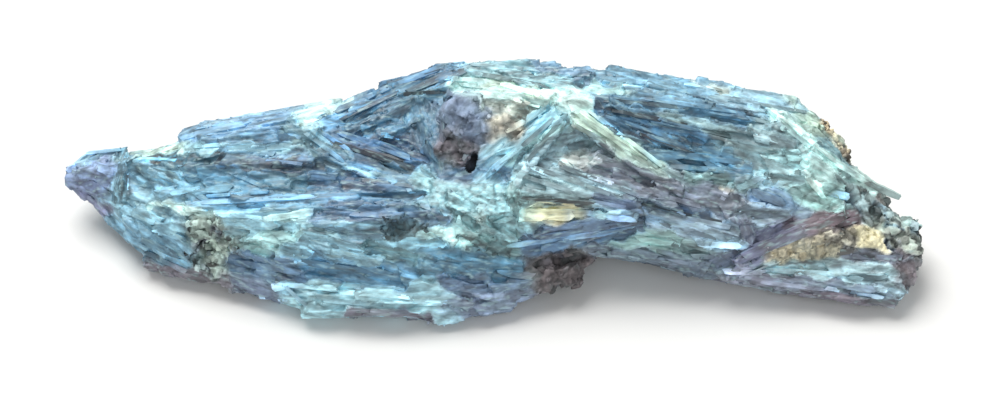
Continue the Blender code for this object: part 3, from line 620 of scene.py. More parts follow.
def lath_piece(name, laths, material, rng):
    """Makes one piece that holds many blades."""
    count, rings = laths.rings.shape[:2]
    across = PROFILE[:, 0] * laths.width[:, None, None]
    slant = laths.slant[:, :, None] * across
    tilt = rng.uniform(-ROLL, ROLL, count)[:, None, None] * PROFILE[:, 0]
    height = np.where(PROFILE[:, 1] > 0, laths.heights[:, :, None] + tilt, -ROOT)
    spots = laths.rings[:, :, None] + MM * (
        slant[..., None] * laths.axis[:, None, None]
        + (across * laths.taper[:, :, None])[..., None] * laths.side[:, None, None]
        + height[..., None] * laths.out[:, None, None]
    )
    spots = spots.reshape(-1, 3)

    reach = np.linalg.norm(laths.rings - laths.rings[:, :1], axis=-1) / MM
    faces = lath_faces(rings)
    flat = np.zeros((count, rings, 4, 2))
    flat[..., 0] = reach[:, :, None] + CAP
    flat[:, :, 1, 1] = SIDE_IN_ATLAS
    flat[:, :, 2, 1] = SIDE_IN_ATLAS + laths.width[:, None]
    flat[:, :, 3, 1] = 2 * SIDE_IN_ATLAS + laths.width[:, None]
    corners = flat.reshape(count, 4 * rings, 2)[:, faces]
    length = reach[:, -1] + 2 * CAP
    corners[:, -2, :2, 0] = 0.0
    corners[:, -1, ::3, 0] = length[:, None]
    places, side = shelf_pack(np.stack((length, 2 * SIDE_IN_ATLAS + laths.width), axis=-1))
    grain = corners + rng.uniform(0, GRAIN_SHIFT, (count, 1, 1, 2))

    shade = rng.uniform(*RING_SHADES, (count, rings, 1)) * (1, 1, 1, 0) + (0, 0, 0, 1)
    tints = (laths.tint * shade)[:, faces // 4]
    broken = [f for f in range(len(faces)) if f % 3 != 1 or f >= len(faces) - 2]
    tints[:, broken] = laths.edge[:, faces[broken] // 4]
    make_piece(
        name,
        clamp_to_solid(spots),
        (faces + 4 * rings * np.arange(count)[:, None, None]).reshape(-1, 4),
        tints,
        field_of(spots, laths.patches.repeat(4 * rings)),
        grain,
        (corners + places[:, None, None]) / side,
        material,
    )


# ---- The thin blades that are sown over the ground ----

BLADE_COVERS = {"blades": 0.2, "crumbs": 0.03, "bare": 0.012, "hole": 0.0}  # over each spot
LONG, WIDE = 0.9, 1.5  # a sown blade's size next to the size that GRAIN gives
SPREAD = (0.55, 1.4)  # and how luck changes it
STRAY = 0.8  # how far a blade strays from the grain, next to its patch's skew
PROUD = 0.07  # how far a blade stands over the ground, on average
MIDDLE = 0.2  # how far from its middle a blade's middle ring may be, next to its length
DIPS = (-0.04, 0.3)  # how much lower its ends lie
MIDDLE_DIP = 0.1  # how much of that its middle does
END_TAPER = (0.15, 0.95)  # how wide it is at its ends, next to its middle
SLANT = 1.0  # how far its ends are broken aslant, next to its width
MIDDLE_SLANT = 0.2  # how much of that its middle ring has

TONE_GRAIN = (0.09, 0.42, 0.42)  # how fast the tones change along, across and through the grain
PATCH_STEP = 7.3  # how far apart the noise of two patches lies
CONTRAST = 1.7  # how strongly the noise picks among the tones of a patch
LUCK = 0.16  # how much of a blade's tone is left to chance
LUCK_SHADE = 0.35  # how strongly that chance changes its shade too
EDGE_SHARE = 0.18  # most that a blade's broken edges are bleached or darkened
BLEACHED = 0.45  # the share of the blades whose edges are bleached

SECTORS = ("front_low", "front", "front_high", "crest", "back", "back_low", "under")
SECTOR_ENDS = (0, 35, 65, 100, 145, 225)  # degrees from facing the front, by way of up
SECTOR_START = -45  # where the first of them starts, and the last one ends


def cover_of(covers):
    """Each patch's cover, by its kind."""
    return np.array([covers[kind] for kind in PATCH_KINDS])


def tints_for(points, patches, hues, luck, scale):
    """A colour at each point: a tone of its patch, picked by luck and by noise along the grain."""
    picks = noise_over(field_of(points, patches) + patches[:, None] * PATCH_STEP, scale)
    tints = tones_at(patches, hues, (picks - 0.5) * CONTRAST + 0.5 + luck)
    tints[:, :3] *= np.exp(luck * LUCK_SHADE)[:, None]
    return tints


def edges_for(tints, rng):
    """The colour of the broken edges of blades: bleached on some, dark on the others."""
    edges = tints.copy()
    share = rng.uniform(0.0, EDGE_SHARE, (len(tints), 1, 1))
    bleached = rng.random(len(tints)) < BLEACHED
    edges[..., :3] *= 1 - share
    edges[bleached, :, :3] += share[bleached] * linear("ice")
    return edges


def lath_tints(rings, outs, patches, rng):
    """Each blade's colour at each of its rings."""
    count, steps = rings.shape[:2]
    _, hues = grain_at(rings.reshape(-1, 3), outs.repeat(steps, axis=0), rng, 0.0)
    luck = rng.normal(0, LUCK, count).repeat(steps)
    tints = tints_for(rings.reshape(-1, 3), patches.repeat(steps), hues, luck, TONE_GRAIN)
    return tints.reshape(count, steps, 4)


def sow(ground, triangles, rng):
    """The blades that are sown over the ground, with three rings each."""
    sizes = PATCH_SIZES * (LONG, WIDE)
    density = cover_of(BLADE_COVERS) / sizes.prod(axis=1)
    points, normals, patches, _ = sown(triangles, density, rng)
    count = len(points)
    along = headings(patches, normals, rng.normal(0, 1, count) * PATCH_SKEWS[patches] * STRAY)
    lengths = sizes[patches, 0] * rng.uniform(*SPREAD, count)
    widths = sizes[patches, 1] * rng.uniform(*SPREAD, count)
    kept, centre, axis, out, spans = place_laths(ground, points, normals, along, lengths)
    patches, count = patches[kept], len(kept)
    middle = rng.uniform(-MIDDLE, MIDDLE, (count, 1))
    steps = np.concatenate((middle * 0 - 0.5, middle, middle * 0 + 0.5), axis=1)
    rings = centre[:, None] + (steps * spans[:, None])[..., None] * axis[:, None]
    proud = rng.gamma(2.0, PROUD / 2, count)[:, None]
    dips = rng.uniform(*DIPS, (count, 3)) * (1, MIDDLE_DIP, 1)
    taper = rng.uniform(*END_TAPER, (count, 3))
    taper[:, 1] = 1.0
    slant = rng.uniform(-SLANT, SLANT, (count, 3)) * (1, MIDDLE_SLANT, 1)
    tint = lath_tints(rings, out, patches, rng)
    edge = edges_for(tint, rng)
    side = np.cross(axis, out)
    width = widths[kept]
    return Laths(rings, axis, side, out, width, proud - dips, taper, slant, tint, edge, patches)


def split_by_sector(laths):
    """The blades of each sector round the long axis, with the sector's name."""
    turn = np.degrees(np.arctan2(laths.out[:, 2], -laths.out[:, 1]))
    sectors = np.searchsorted(SECTOR_ENDS, np.where(turn < SECTOR_START, turn + 360, turn))
    for number, name in enumerate(SECTORS):
        chosen = sectors == number
        if chosen.any():
            yield name, Laths(*(values[chosen] for values in laths))


# ---- The blades and plates that stand out, one by one ----
#
# start and end are pixels of the frame, width is in pixels too, and lift is how far one stands
# over the ground.

Blade = namedtuple("Blade", "start end width tone edge lift", defaults=("pale", 0.11))
BLADES = [
    # the tip and the neck
    Blade((66, 170), (88, 153), 4, "pale"),
    Blade((86, 153), (124, 149), 4, "pale"),
    Blade((72, 174), (112, 198), 13, "plum", "lilac", 0.09),
    Blade((84, 163), (113, 172), 11, "sky", "lilac", 0.06),
    Blade((86, 196), (108, 214), 8, "taupe", "mauve"),
    Blade((117, 152), (116, 190), 3, "slate"),
    Blade((123, 154), (122, 196), 3, "deep"),
    Blade((128, 152), (128, 190), 2.5, "pale"),
    Blade((140, 170), (186, 180), 14, "teal", "pale", 0.09),
    Blade((134, 158), (176, 160), 5, "mint"),
    # the upper left ridge
    Blade((180, 139), (244, 124), 12, "sky", "pale", 0.25),
    Blade((238, 124), (290, 112), 11, "sky"),
    Blade((188, 131), (236, 121), 3, "pale"),
    Blade((222, 150), (268, 147), 10, "sky"),
    Blade((190, 147), (228, 144), 5, "ice"),
    Blade((276, 134), (300, 146), 14, "denim", "navy"),
    Blade((303, 121), (345, 105), 14, "white", "white", 0.25),
    Blade((292, 114), (322, 130), 5, "pale", "straw", 0.12),
    Blade((304, 132), (344, 162), 6, "steel", "pale", 0.12),
    Blade((312, 126), (352, 152), 5, "steel"),
    Blade((262, 160), (302, 164), 5, "taupe", "brown"),
    Blade((230, 172), (262, 186), 6, "slate"),
    # the long streaks of the left half
    Blade((164, 195), (200, 188), 6, "ice"),
    Blade((200, 203), (318, 196), 7, "sky", "ice"),
    Blade((206, 196), (268, 192), 4, "pale"),
    Blade((168, 206), (206, 210), 3.5, "white"),
    Blade((180, 212), (216, 218), 3.5, "ice"),
    Blade((266, 219), (313, 212), 8, "white", "ice", 0.31),
    Blade((226, 215), (262, 218), 5, "pale"),
    Blade((350, 214), (392, 216), 8, "denim", "slate"),
    Blade((122, 208), (160, 222), 13, "sky"),
    Blade((132, 234), (178, 256), 10, "denim", "sky"),
    Blade((152, 228), (186, 240), 7, "steel"),
    Blade((146, 252), (186, 272), 7, "slate", "taupe"),
    Blade((234, 262), (298, 272), 9, "slate", "lilac"),
    Blade((302, 262), (392, 274), 8, "denim", "steel"),
    Blade((330, 246), (400, 256), 8, "steel"),
    Blade((282, 285), (336, 288), 7, "ice"),
    Blade((338, 292), (398, 296), 7, "pale", "ice"),
    Blade((396, 296), (446, 302), 6, "ice"),
    Blade((322, 300), (384, 305), 6, "sky", "ice"),
    Blade((240, 240), (262, 238), 7, "ice", "mint"),
    Blade((272, 232), (296, 240), 6, "mint"),
    # the arch and the hollow under it
    Blade((334, 112), (396, 84), 9, "denim", "sky"),
    Blade((392, 86), (444, 66), 8, "steel", "sky"),
    Blade((340, 120), (398, 92), 5, "navy", "denim"),
    Blade((338, 132), (410, 158), 8, "denim", "sky"),
    Blade((334, 143), (414, 168), 6, "ink", "ink", 0.2),
    Blade((346, 178), (412, 186), 6, "navy", "steel"),
    Blade((402, 94), (440, 92), 5, "ink", "deep"),
    Blade((378, 134), (402, 138), 6, "pale"),
    # the crest and the star
    Blade((440, 78), (500, 82), 7, "mint", "ice"),
    Blade((470, 64), (540, 70), 6, "sky", "pale"),
    Blade((480, 74), (556, 88), 6, "denim", "sky"),
    Blade((500, 84), (558, 102), 9, "white", "straw", 0.31),
    Blade((492, 94), (540, 106), 6, "straw", "taupe"),
    Blade((560, 112), (486, 176), 8, "pale", "ice", 0.31),
    Blade((554, 118), (522, 146), 6, "slate", "ice", 0.43),
    Blade((566, 114), (528, 160), 6, "teal", "mint", 0.31),
    Blade((546, 108), (506, 132), 7, "mint", "ice", 0.31),
    Blade((578, 114), (646, 160), 8, "straw", "mint", 0.31),
    Blade((590, 112), (662, 166), 6, "mint", "teal", 0.25),
    Blade((572, 124), (606, 142), 6, "moss", "mint", 0.25),
    Blade((574, 168), (604, 152), 12, "blush", "ice"),
    Blade((586, 176), (614, 184), 7, "blush", "taupe"),
    # the laths that spread under the star
    Blade((522, 162), (562, 182), 5, "ice", "white"),
    Blade((530, 166), (610, 194), 6, "taupe", "pale"),
    Blade((524, 176), (580, 194), 6, "taupe", "lilac"),
    Blade((560, 166), (640, 196), 6, "slate", "taupe"),
    Blade((600, 178), (700, 206), 7, "taupe", "slate"),
    Blade((522, 198), (596, 203), 5, "umber", "slate", 0.19),
    Blade((519, 215), (576, 215), 16, "white", "straw", 0.45),
    Blade((568, 214), (604, 214), 9, "mint", "ice", 0.22),
    Blade((596, 216), (636, 220), 8, "ice", "slate"),
    # the ledge
    Blade((640, 220), (540, 238), 8, "denim", "sky", 0.31),
    Blade((610, 232), (506, 246), 7, "sky", "pale", 0.25),
    Blade((650, 212), (730, 228), 8, "lilac", "pale", 0.31),
    Blade((642, 204), (722, 222), 4, "ink", "slate", 0.19),
    Blade((660, 224), (716, 238), 6, "slate", "lilac"),
    Blade((636, 238), (680, 246), 8, "mint", "ice"),
    Blade((700, 244), (742, 246), 8, "ice", "white", 0.28),
    # the dark fan
    Blade((604, 80), (690, 84), 7, "sky", "pale"),
    Blade((684, 84), (722, 90), 5, "straw", "blush"),
    Blade((604, 100), (690, 108), 6, "navy", "denim"),
    Blade((612, 110), (700, 128), 6, "ink", "deep"),
    Blade((606, 116), (684, 142), 5, "denim", "sky"),
    Blade((640, 98), (736, 112), 5, "steel", "pale"),
    Blade((650, 120), (730, 136), 6, "deep", "slate"),
    Blade((640, 134), (694, 152), 5, "ink", "denim"),
    Blade((700, 112), (764, 124), 6, "taupe", "teal"),
    Blade((728, 100), (806, 112), 7, "steel", "pale"),
    Blade((654, 152), (744, 162), 9, "denim", "teal"),
    Blade((670, 166), (744, 172), 7, "teal", "deep"),
    Blade((754, 138), (786, 148), 8, "blush", "taupe"),
    # the white slash and the far slope
    Blade((770, 110), (802, 136), 6, "white", "ice", 0.37),
    Blade((798, 132), (838, 164), 6, "ice", "white", 0.37),
    Blade((832, 160), (870, 184), 8, "ice", "mint", 0.31),
    Blade((786, 128), (822, 156), 5, "pale", "steel"),
    Blade((808, 178), (824, 198), 7, "white", "ice", 0.15),
    Blade((752, 192), (786, 204), 12, "slate", "lilac", 0.12),
    Blade((722, 200), (732, 182), 7, "blush", "straw", 0.12),
    Blade((736, 190), (760, 178), 8, "lilac", "pale"),
    Blade((742, 214), (746, 236), 12, "taupe", "slate", 0.09),
    Blade((806, 122), (824, 128), 7, "ochre", "straw"),
    Blade((866, 182), (900, 198), 8, "taupe", "mint", 0.31),
    # the band and the rows under it
    Blade((744, 257), (806, 230), 15, "mauve", "mauve", 0.31),
    Blade((730, 264), (756, 250), 7, "mauve", "slate"),
    Blade((784, 230), (850, 213), 14, "wine", "mauve", 0.31),
    Blade((806, 234), (858, 219), 8, "mauve", "umber", 0.25),
    Blade((724, 272), (770, 272), 7, "ice", "white", 0.28),
    Blade((764, 270), (836, 274), 7, "pale", "ice"),
    Blade((760, 282), (832, 290), 6, "lilac", "pale"),
    Blade((826, 288), (884, 298), 6, "ice", "lilac"),
    Blade((846, 256), (902, 258), 7, "slate", "navy"),
]

RINGS = 9  # of each of them
FEATURE_MOTTLE = (0.4, 1.0, 1.0)  # how fast their shade changes along, across and through the grain
FEATURE_SHADE = 1.0  # how much it changes
EDGED = 0.3  # how much of their edges' own tone they show
FOLLOW = 0.75  # how closely they follow the ground between their ends
MOST_BULGE = 1.5  # how far from the straight line they follow it
LIFTS = (-0.1, 0.1)  # how luck changes their lift from ring to ring
END_DROP = (0.0, 0.3)  # how much lower their ends lie
TAPER = (0.82, 1.08)  # how their width changes from ring to ring
BLUNT = (0.55, 0.95)  # how wide they are at their ends
END_SLANT = 0.8  # how far their ends are broken aslant, next to their width


def seen_through(ground, pixels):
    """The spots of the ground that the camera sees at pixels, and the normals there.

    A pixel just off its edge takes the depth of the nearest one on it.
    """
    rays = [pixel_ray(pixel) for pixel in pixels]
    hits = [ground.ray_cast(Vector(CAM_SPOT), ray) for ray in rays]
    met = [i for i, hit in enumerate(hits) if hit[0] is not None]
    spots, facings = [], []
    for i, ray in enumerate(rays):
        _, facing, _, depth = hits[min(met, key=lambda other: abs(other - i))]
        spots.append(CAM_SPOT + np.array(ray) * depth)
        facings.append(facing[:])
    return np.array(spots), np.array(facings)


def feature_laths(ground, rng):
    """The blades of BLADES, laid over the ground that the camera sees at their pixels."""
    rings, axes, outs = [], [], []
    for blade in BLADES:
        spots, facings = seen_through(ground, np.linspace(blade.start, blade.end, RINGS))
        line = np.linspace(spots[0], spots[-1], RINGS)
        bulge = ((spots - line) @ CAM_BACK).clip(-MOST_BULGE * MM, MOST_BULGE * MM) * FOLLOW
        axis = unit(spots[-1] - spots[0])
        facing = unit(facings.sum(axis=0) + CAM_BACK)
        rings.append(line + bulge[:, None] * CAM_BACK)
        axes.append(axis)
        outs.append(unit(facing - axis * (facing @ axis)))
    rings, axes, outs, count = np.array(rings), np.array(axes), np.array(outs), len(BLADES)
    ends = slice(None, None, RINGS - 1)
    heights = np.array([blade.lift for blade in BLADES])[:, None]
    heights = heights + rng.uniform(*LIFTS, (count, RINGS))
    heights[:, ends] -= rng.uniform(*END_DROP, (count, 2))
    taper = rng.uniform(*TAPER, (count, RINGS))
    taper[:, ends] = rng.uniform(*BLUNT, (count, 2))
    slant = np.zeros((count, RINGS))
    slant[:, ends] = rng.uniform(-END_SLANT, END_SLANT, (count, 2))
    patches, hues = grain_at(rings.reshape(-1, 3), outs.repeat(RINGS, axis=0), rng, 0.0)
    hues = hues.reshape(count, RINGS, 3)
    mottle = noise_over(field_of(rings.reshape(-1, 3), patches), FEATURE_MOTTLE)
    mottle = np.exp((mottle - 0.5) * FEATURE_SHADE).reshape(count, RINGS, 1)
    tint, edge = np.ones((2, count, RINGS, 4))
    for i, blade in enumerate(BLADES):
        both = linear(blade.tone) * (1 - EDGED) + linear(blade.edge) * EDGED
        tint[i, :, :3] = in_hue(linear(blade.tone)[None], hues[i]) * mottle[i]
        edge[i, :, :3] = in_hue(both[None], hues[i]) * mottle[i]
    width = np.array([blade.width for blade in BLADES]) * PX
    middles = patches.reshape(count, RINGS)[:, RINGS // 2]
    side = np.cross(axes, outs)
    return Laths(rings, axes, side, outs, width, heights, taper, slant, tint, edge, middles)


# ---- Crumbs ----

CRUMB_COVERS = {"blades": 0.01, "crumbs": 0.7, "bare": 0.12, "hole": 0.0}  # over each spot
CHIP = 0.5  # how wide the chips that lie among blades are
CRUMB_SCALE = 0.62  # a crumb's size next to the sizes that GRAIN gives
CRUMB_SIZES = (0.5, 1.6)  # and how luck changes it
ROUGH = (0.72, 1.25)  # how far each of its corners lies from its middle, next to a ball's
STRETCH = (0.5, 1.4)  # how long it is along each of its axes
DEPTHS = (-0.35, 0.1)  # how far its middle stands over the ground, next to its size
CRUMB_TONES = (0.6, 0.6, 0.6)  # how fast the tones change from crumb to crumb
CELLS = 10  # atlas cells of a crumb, two faces in each
# The corners of the lower half of an atlas cell that is one wide.
LOWER_HALF = np.array([(0.06, 0.06), (0.82, 0.06), (0.06, 0.82)])


def icosahedron():
    """The points and faces of an icosahedron one across."""
    ball = bmesh.new()
    bmesh.ops.create_icosphere(ball, subdivisions=1, radius=0.5)
    points = np.array([v.co[:] for v in ball.verts])
    faces = np.array([[v.index for v in f.verts] for f in ball.faces])
    ball.free()
    return points, faces


def crumbs_piece(name, triangles, material, rng):
    """Makes one piece that holds the crumbs of the patches that have them, and a few elsewhere."""
    sizes = np.where(PATCH_KINDS == "blades", CHIP, PATCH_SIZES.mean(axis=1) * CRUMB_SCALE)
    points, normals, patches, hues = sown(triangles, cover_of(CRUMB_COVERS) / sizes**2, rng)
    count = len(points)

    ball, faces = icosahedron()
    first = unit(rng.normal(size=(count, 3)))
    second = unit(np.cross(first, rng.normal(size=(count, 3))))
    frames = np.stack((first, second, np.cross(first, second)), axis=1)
    size = sizes[patches] * rng.uniform(*CRUMB_SIZES, count)
    rough = ball[None] * rng.uniform(*ROUGH, (count, len(ball), 1))
    rough = rough * rng.uniform(*STRETCH, (count, 1, 3)) * size[:, None, None] * MM
    spots = np.einsum("nvk,nkj->nvj", rough, frames)
    spots += (points + normals * (rng.uniform(*DEPTHS, count) * size * MM)[:, None])[:, None]
    spots = spots.reshape(-1, 3)

    cell = np.arange(count)[:, None] * CELLS + np.arange(len(faces))[None] // 2
    columns = math.ceil(math.sqrt(count * CELLS))
    corner = np.stack((cell % columns, cell // columns), axis=-1)[:, :, None]
    upper = (np.arange(len(faces)) % 2)[None, :, None, None]
    places = np.where(upper, 1 - LOWER_HALF, LOWER_HALF) + corner
    luck = rng.normal(0, LUCK, count)
    tints = tints_for(points, patches, hues, luck, CRUMB_TONES)[:, None, None]
    make_piece(
        name,
        clamp_to_solid(spots),
        (faces[None] + len(ball) * np.arange(count)[:, None, None]).reshape(-1, 3),
        tints * np.ones((1, len(faces), 3, 1)),
        field_of(spots, patches.repeat(len(ball))),
        places,
        places / columns,
        material,
    )


# ---- The body: the solid itself, its skin broken into close-grown blades and lumps ----

VOXEL = 0.25
SUNK = 0.05  # how far the body lies under the solid's faces
SEGMENTS = 5  # pieces that the body is in, end to end
SLICES = 40  # along the body, each with a middle of its own
MARGIN = 0.02  # of a segment's length in the atlas, at each end
ROUND_IN_ATLAS = 0.9  # what a turn round the body takes of the atlas
GIRTH = 110.0  # what a turn round the body is on the map of the grain

# How long and wide the blades of each layer are next to the sizes that GRAIN gives, and how
# strong the layer is.
SKIN_LAYERS = (((1.0, 1.7), 0.9), ((0.5, 0.9), 0.6), ((0.26, 0.5), 0.2))
LAYER_STEP = 50  # how far apart the cells of two layers lie
CELL_STEP = 5.3  # how far apart the cells of two patches lie
SWAY = 1.6  # how far a blade's cell is bent, next to its size
SWAY_GRAIN = (0.05, 0.16, 0.16)  # how fast that changes along, across and through the grain
STEP = 0.42  # between the highest and the lowest blades
TILT = 0.65  # how steeply a blade may lean across the grain
PITCH = 0.1  # how much of that it may lean along the grain
GROOVE = 0.1  # how far the joints between blades are sunk
JOINT = 0.1  # how wide a joint is, next to a blade
JOINT_SHADE = 0.08  # how much darker a joint is
SOFT = 0.2  # how far from a joint a blade comes into its own tone, next to a blade
SHADE = 0.7  # how much the shade changes from blade to blade
LUMP = 0.4  # how far lumps stand over each other, next to their size
LUMP_TILT = 0.8  # how steeply a lump's face may lean
HOLE = 0.9  # how deep a hole is, before its lumps
PEAK = 0.35  # most that the skin stands out before it is sunk
LUMP_TONES = 0.5  # how fast the tones change on matrix, in all directions
SKIN_CONTRAST = 1.5  # how strongly the noise picks among the tones of a patch
# Numbers without a pattern, which mix a cell's place into chance.
MIX = (12.99, 78.23, 37.72)
MIX_STEP = 9.17
MIX_SPREAD = 43758.55


def remeshed(solid):
    """An even mesh of the solid: its points, their normals, and its faces."""
    copy = bpy.data.objects.new("copy", solid.data.copy())
    bpy.context.scene.collection.objects.link(copy)
    remesh = copy.modifiers.new("remesh", "REMESH")
    remesh.mode = "VOXEL"
    remesh.voxel_size = VOXEL * MM
    shaped = copy.evaluated_get(bpy.context.evaluated_depsgraph_get())
    mesh = bpy.data.meshes.new_from_object(shaped)
    bpy.data.objects.remove(copy)
    spots = np.empty(len(mesh.vertices) * 3)
    mesh.vertices.foreach_get("co", spots)
    normals = np.empty(len(mesh.vertices) * 3)
    mesh.vertex_normals.foreach_get("vector", normals)
    faces = np.empty(len(mesh.polygons) * 4, np.int32)
    mesh.polygons.foreach_get("vertices", faces)
    bpy.data.meshes.remove(mesh)
    return spots.reshape(-1, 3), normals.reshape(-1, 3), faces.reshape(-1, 4)


def chance(cells, number):
    """A number from 0 to 1 for each cell, the same wherever that cell is met."""
    mixed = np.sin(cells @ MIX + number * MIX_STEP) * MIX_SPREAD
    return mixed - np.floor(mixed)


def leaning(cells):
    """Which way each cell's face leans, and how much."""
    return np.stack([chance(cells, number) - 0.5 for number in (6, 7, 8)], axis=-1)


def cells_at(places):
    """The nearest cell of each place, the offset from it, and how far the joint is."""
    found = np.empty((len(places), 7))
    for row, place in enumerate(places):
        distances, spots = noise.voronoi(Vector(place))
        found[row, :3] = spots[0]
        found[row, 3:6] = Vector(place) - spots[0]
        found[row, 6] = distances[1] - distances[0]
    return found[:, :3], found[:, 3:6], found[:, 6]


def skin(spots, patches, hues):
    """How far each spot of the body stands out, in millimetres, its colour and its field."""
    field = field_of(spots, patches)
    sway = noise_over(field, SWAY_GRAIN)[:, None] - 0.5
    bladed = PATCH_KINDS[patches] == "blades"
    relief = np.where(PATCH_KINDS[patches] == "hole", -HOLE, 0.0)
    picks = np.zeros(len(spots))
    shade = np.zeros(len(spots))
    for layer, ((long, wide), strength) in enumerate(SKIN_LAYERS):
        length, width = (PATCH_SIZES[patches] * (long, wide)).T
        length = np.where(bladed, length, width)
        scale = np.stack((length, width, width), axis=-1)
        places = field / scale + sway * SWAY + patches[:, None] * CELL_STEP + layer * LAYER_STEP
        cells, offset, joint = cells_at(places)
        seam = np.exp(-joint / JOINT)
        blade = (chance(cells, 1) - 0.5) * STEP
        blade += offset[:, 1] * width * (chance(cells, 2) - 0.5) * TILT
        blade += offset[:, 0] * length * (chance(cells, 3) - 0.5) * TILT * PITCH
        lump = width * LUMP * (chance(cells, 1) - 0.5)
        lump += width * LUMP_TILT * (offset * leaning(cells)).sum(axis=1)
        relief += strength * (np.where(bladed, blade, lump) - GROOVE * seam)
        inside = 1 - np.exp(-joint / SOFT)
        picks += (chance(cells, 4) - 0.5) * strength * inside
        shade += (chance(cells, 5) - 0.5) * strength * inside * SHADE
        shade -= JOINT_SHADE * strength * seam
    scale = np.where(bladed[:, None], TONE_GRAIN, LUMP_TONES)
    drift = noise_over(field + patches[:, None] * PATCH_STEP, scale)
    tints = tones_at(patches, hues, (drift - 0.5) * SKIN_CONTRAST + 0.5 + picks)
    tints[:, :3] *= np.exp(shade)[:, None]
    return relief.clip(None, PEAK), tints, field


def round_spine(spots):
    """The turn of each spot round the middle of the solid there, from 0 to 1, 0 underneath."""
    steps = np.linspace(spots[:, 0].min(), spots[:, 0].max(), SLICES + 1)
    slices = np.digitize(spots[:, 0], steps[1:-1])
    middles = np.array([spots[slices == s][:, 1:].mean(axis=0) for s in range(SLICES)])
    centres = (steps[1:] + steps[:-1]) / 2
    off_y = spots[:, 1] - np.interp(spots[:, 0], centres, middles[:, 0])
    off_z = spots[:, 2] - np.interp(spots[:, 0], centres, middles[:, 1])
    return np.arctan2(off_y, -off_z) / math.tau + 0.5


def body_pieces(name, solid, material, rng):
    """Makes the pieces under all the blades."""
    spots, normals, faces = remeshed(solid)
    patches, hues = grain_at(spots, normals, rng, 0.0)
    relief, tints, field = skin(spots, patches, hues)
    spots = clamp_to_solid(spots + normals * ((relief - SUNK) * MM)[:, None])
    turns = round_spine(spots)[faces]
    turns += (turns.max(axis=1) - turns.min(axis=1) > 0.5)[:, None] & (turns < 0.5)
    along = (spots[:, 0] - spots[:, 0].min()) / np.ptp(spots[:, 0]) * SEGMENTS
    segments = along[faces].mean(axis=1).astype(int).clip(0, SEGMENTS - 1)
    for segment in range(SEGMENTS):
        chosen = segments == segment
        corners = faces[chosen]
        used, own = np.unique(corners, return_inverse=True)
        reach = (along[corners] - segment) * (1 - 2 * MARGIN) + MARGIN
        piece = make_piece(
            f"{name}_{segment}",
            spots[used],
            own.reshape(corners.shape),
            tints[corners],
            field[used],
            np.stack((spots[:, 0][corners] / MM, turns[chosen] * GIRTH), axis=-1),
            np.stack((reach, turns[chosen] * ROUND_IN_ATLAS), axis=-1),
            material,
        )
        piece.data.shade_smooth()


# ---- Material ----

ROUGHNESS = (0.42, 0.66)  # of kyanite, where its fibres and bloom are low and where they are high
EARTHY_ROUGHNESS = 0.8
IOR = 1.72  # kyanite's
BUMP = 0.07  # how deep the finest relief is
BUMP_STRENGTH = 0.3


class Wiring:
    """A short way to write a material's nodes."""

    def __init__(self, name):
        self.material = bpy.data.materials.new(name)
        self.material.use_nodes = True
        self.tree = self.material.node_tree
        self.shader = self.tree.nodes["Principled BSDF"]

    def put(self, node, values):
        """Sets or links a node's inputs, given by name or number."""
        for key, value in values.items():
            if isinstance(value, bpy.types.NodeSocket):
                self.tree.links.new(value, node.inputs[key])
            else:
                node.inputs[key].default_value = value

    def node(self, kind, output, inputs=(), **settings):
        """A new node's output, with the node's settings and inputs as given."""
        node = self.tree.nodes.new("ShaderNode" + kind)
        for setting, value in settings.items():
            setattr(node, setting, value)
        self.put(node, dict(inputs))
        return node.outputs[output]

    def noise(self, vector, scale, detail=2.0, rough=0.5):
        inputs = {"Vector": vector, "Scale": scale, "Detail": detail, "Roughness": rough}
        return self.node("TexNoise", "Fac", inputs)

    def stretched(self, vector, scale):
        return self.node("Mapping", "Vector", {"Vector": vector, "Scale": scale})

    def ranged(self, value, low, high, to_low, to_high):
        return self.node("MapRange", 0, {0: value, 1: low, 2: high, 3: to_low, 4: to_high})

    def maths(self, operation, a, b):
        return self.node("Math", 0, {0: a, 1: b}, operation=operation)

    def mix(self, blend, factor, a, b):
        inputs = {0: factor, 6: a, 7: b}
        return self.node("Mix", 2, inputs, data_type="RGBA", blend_type=blend)


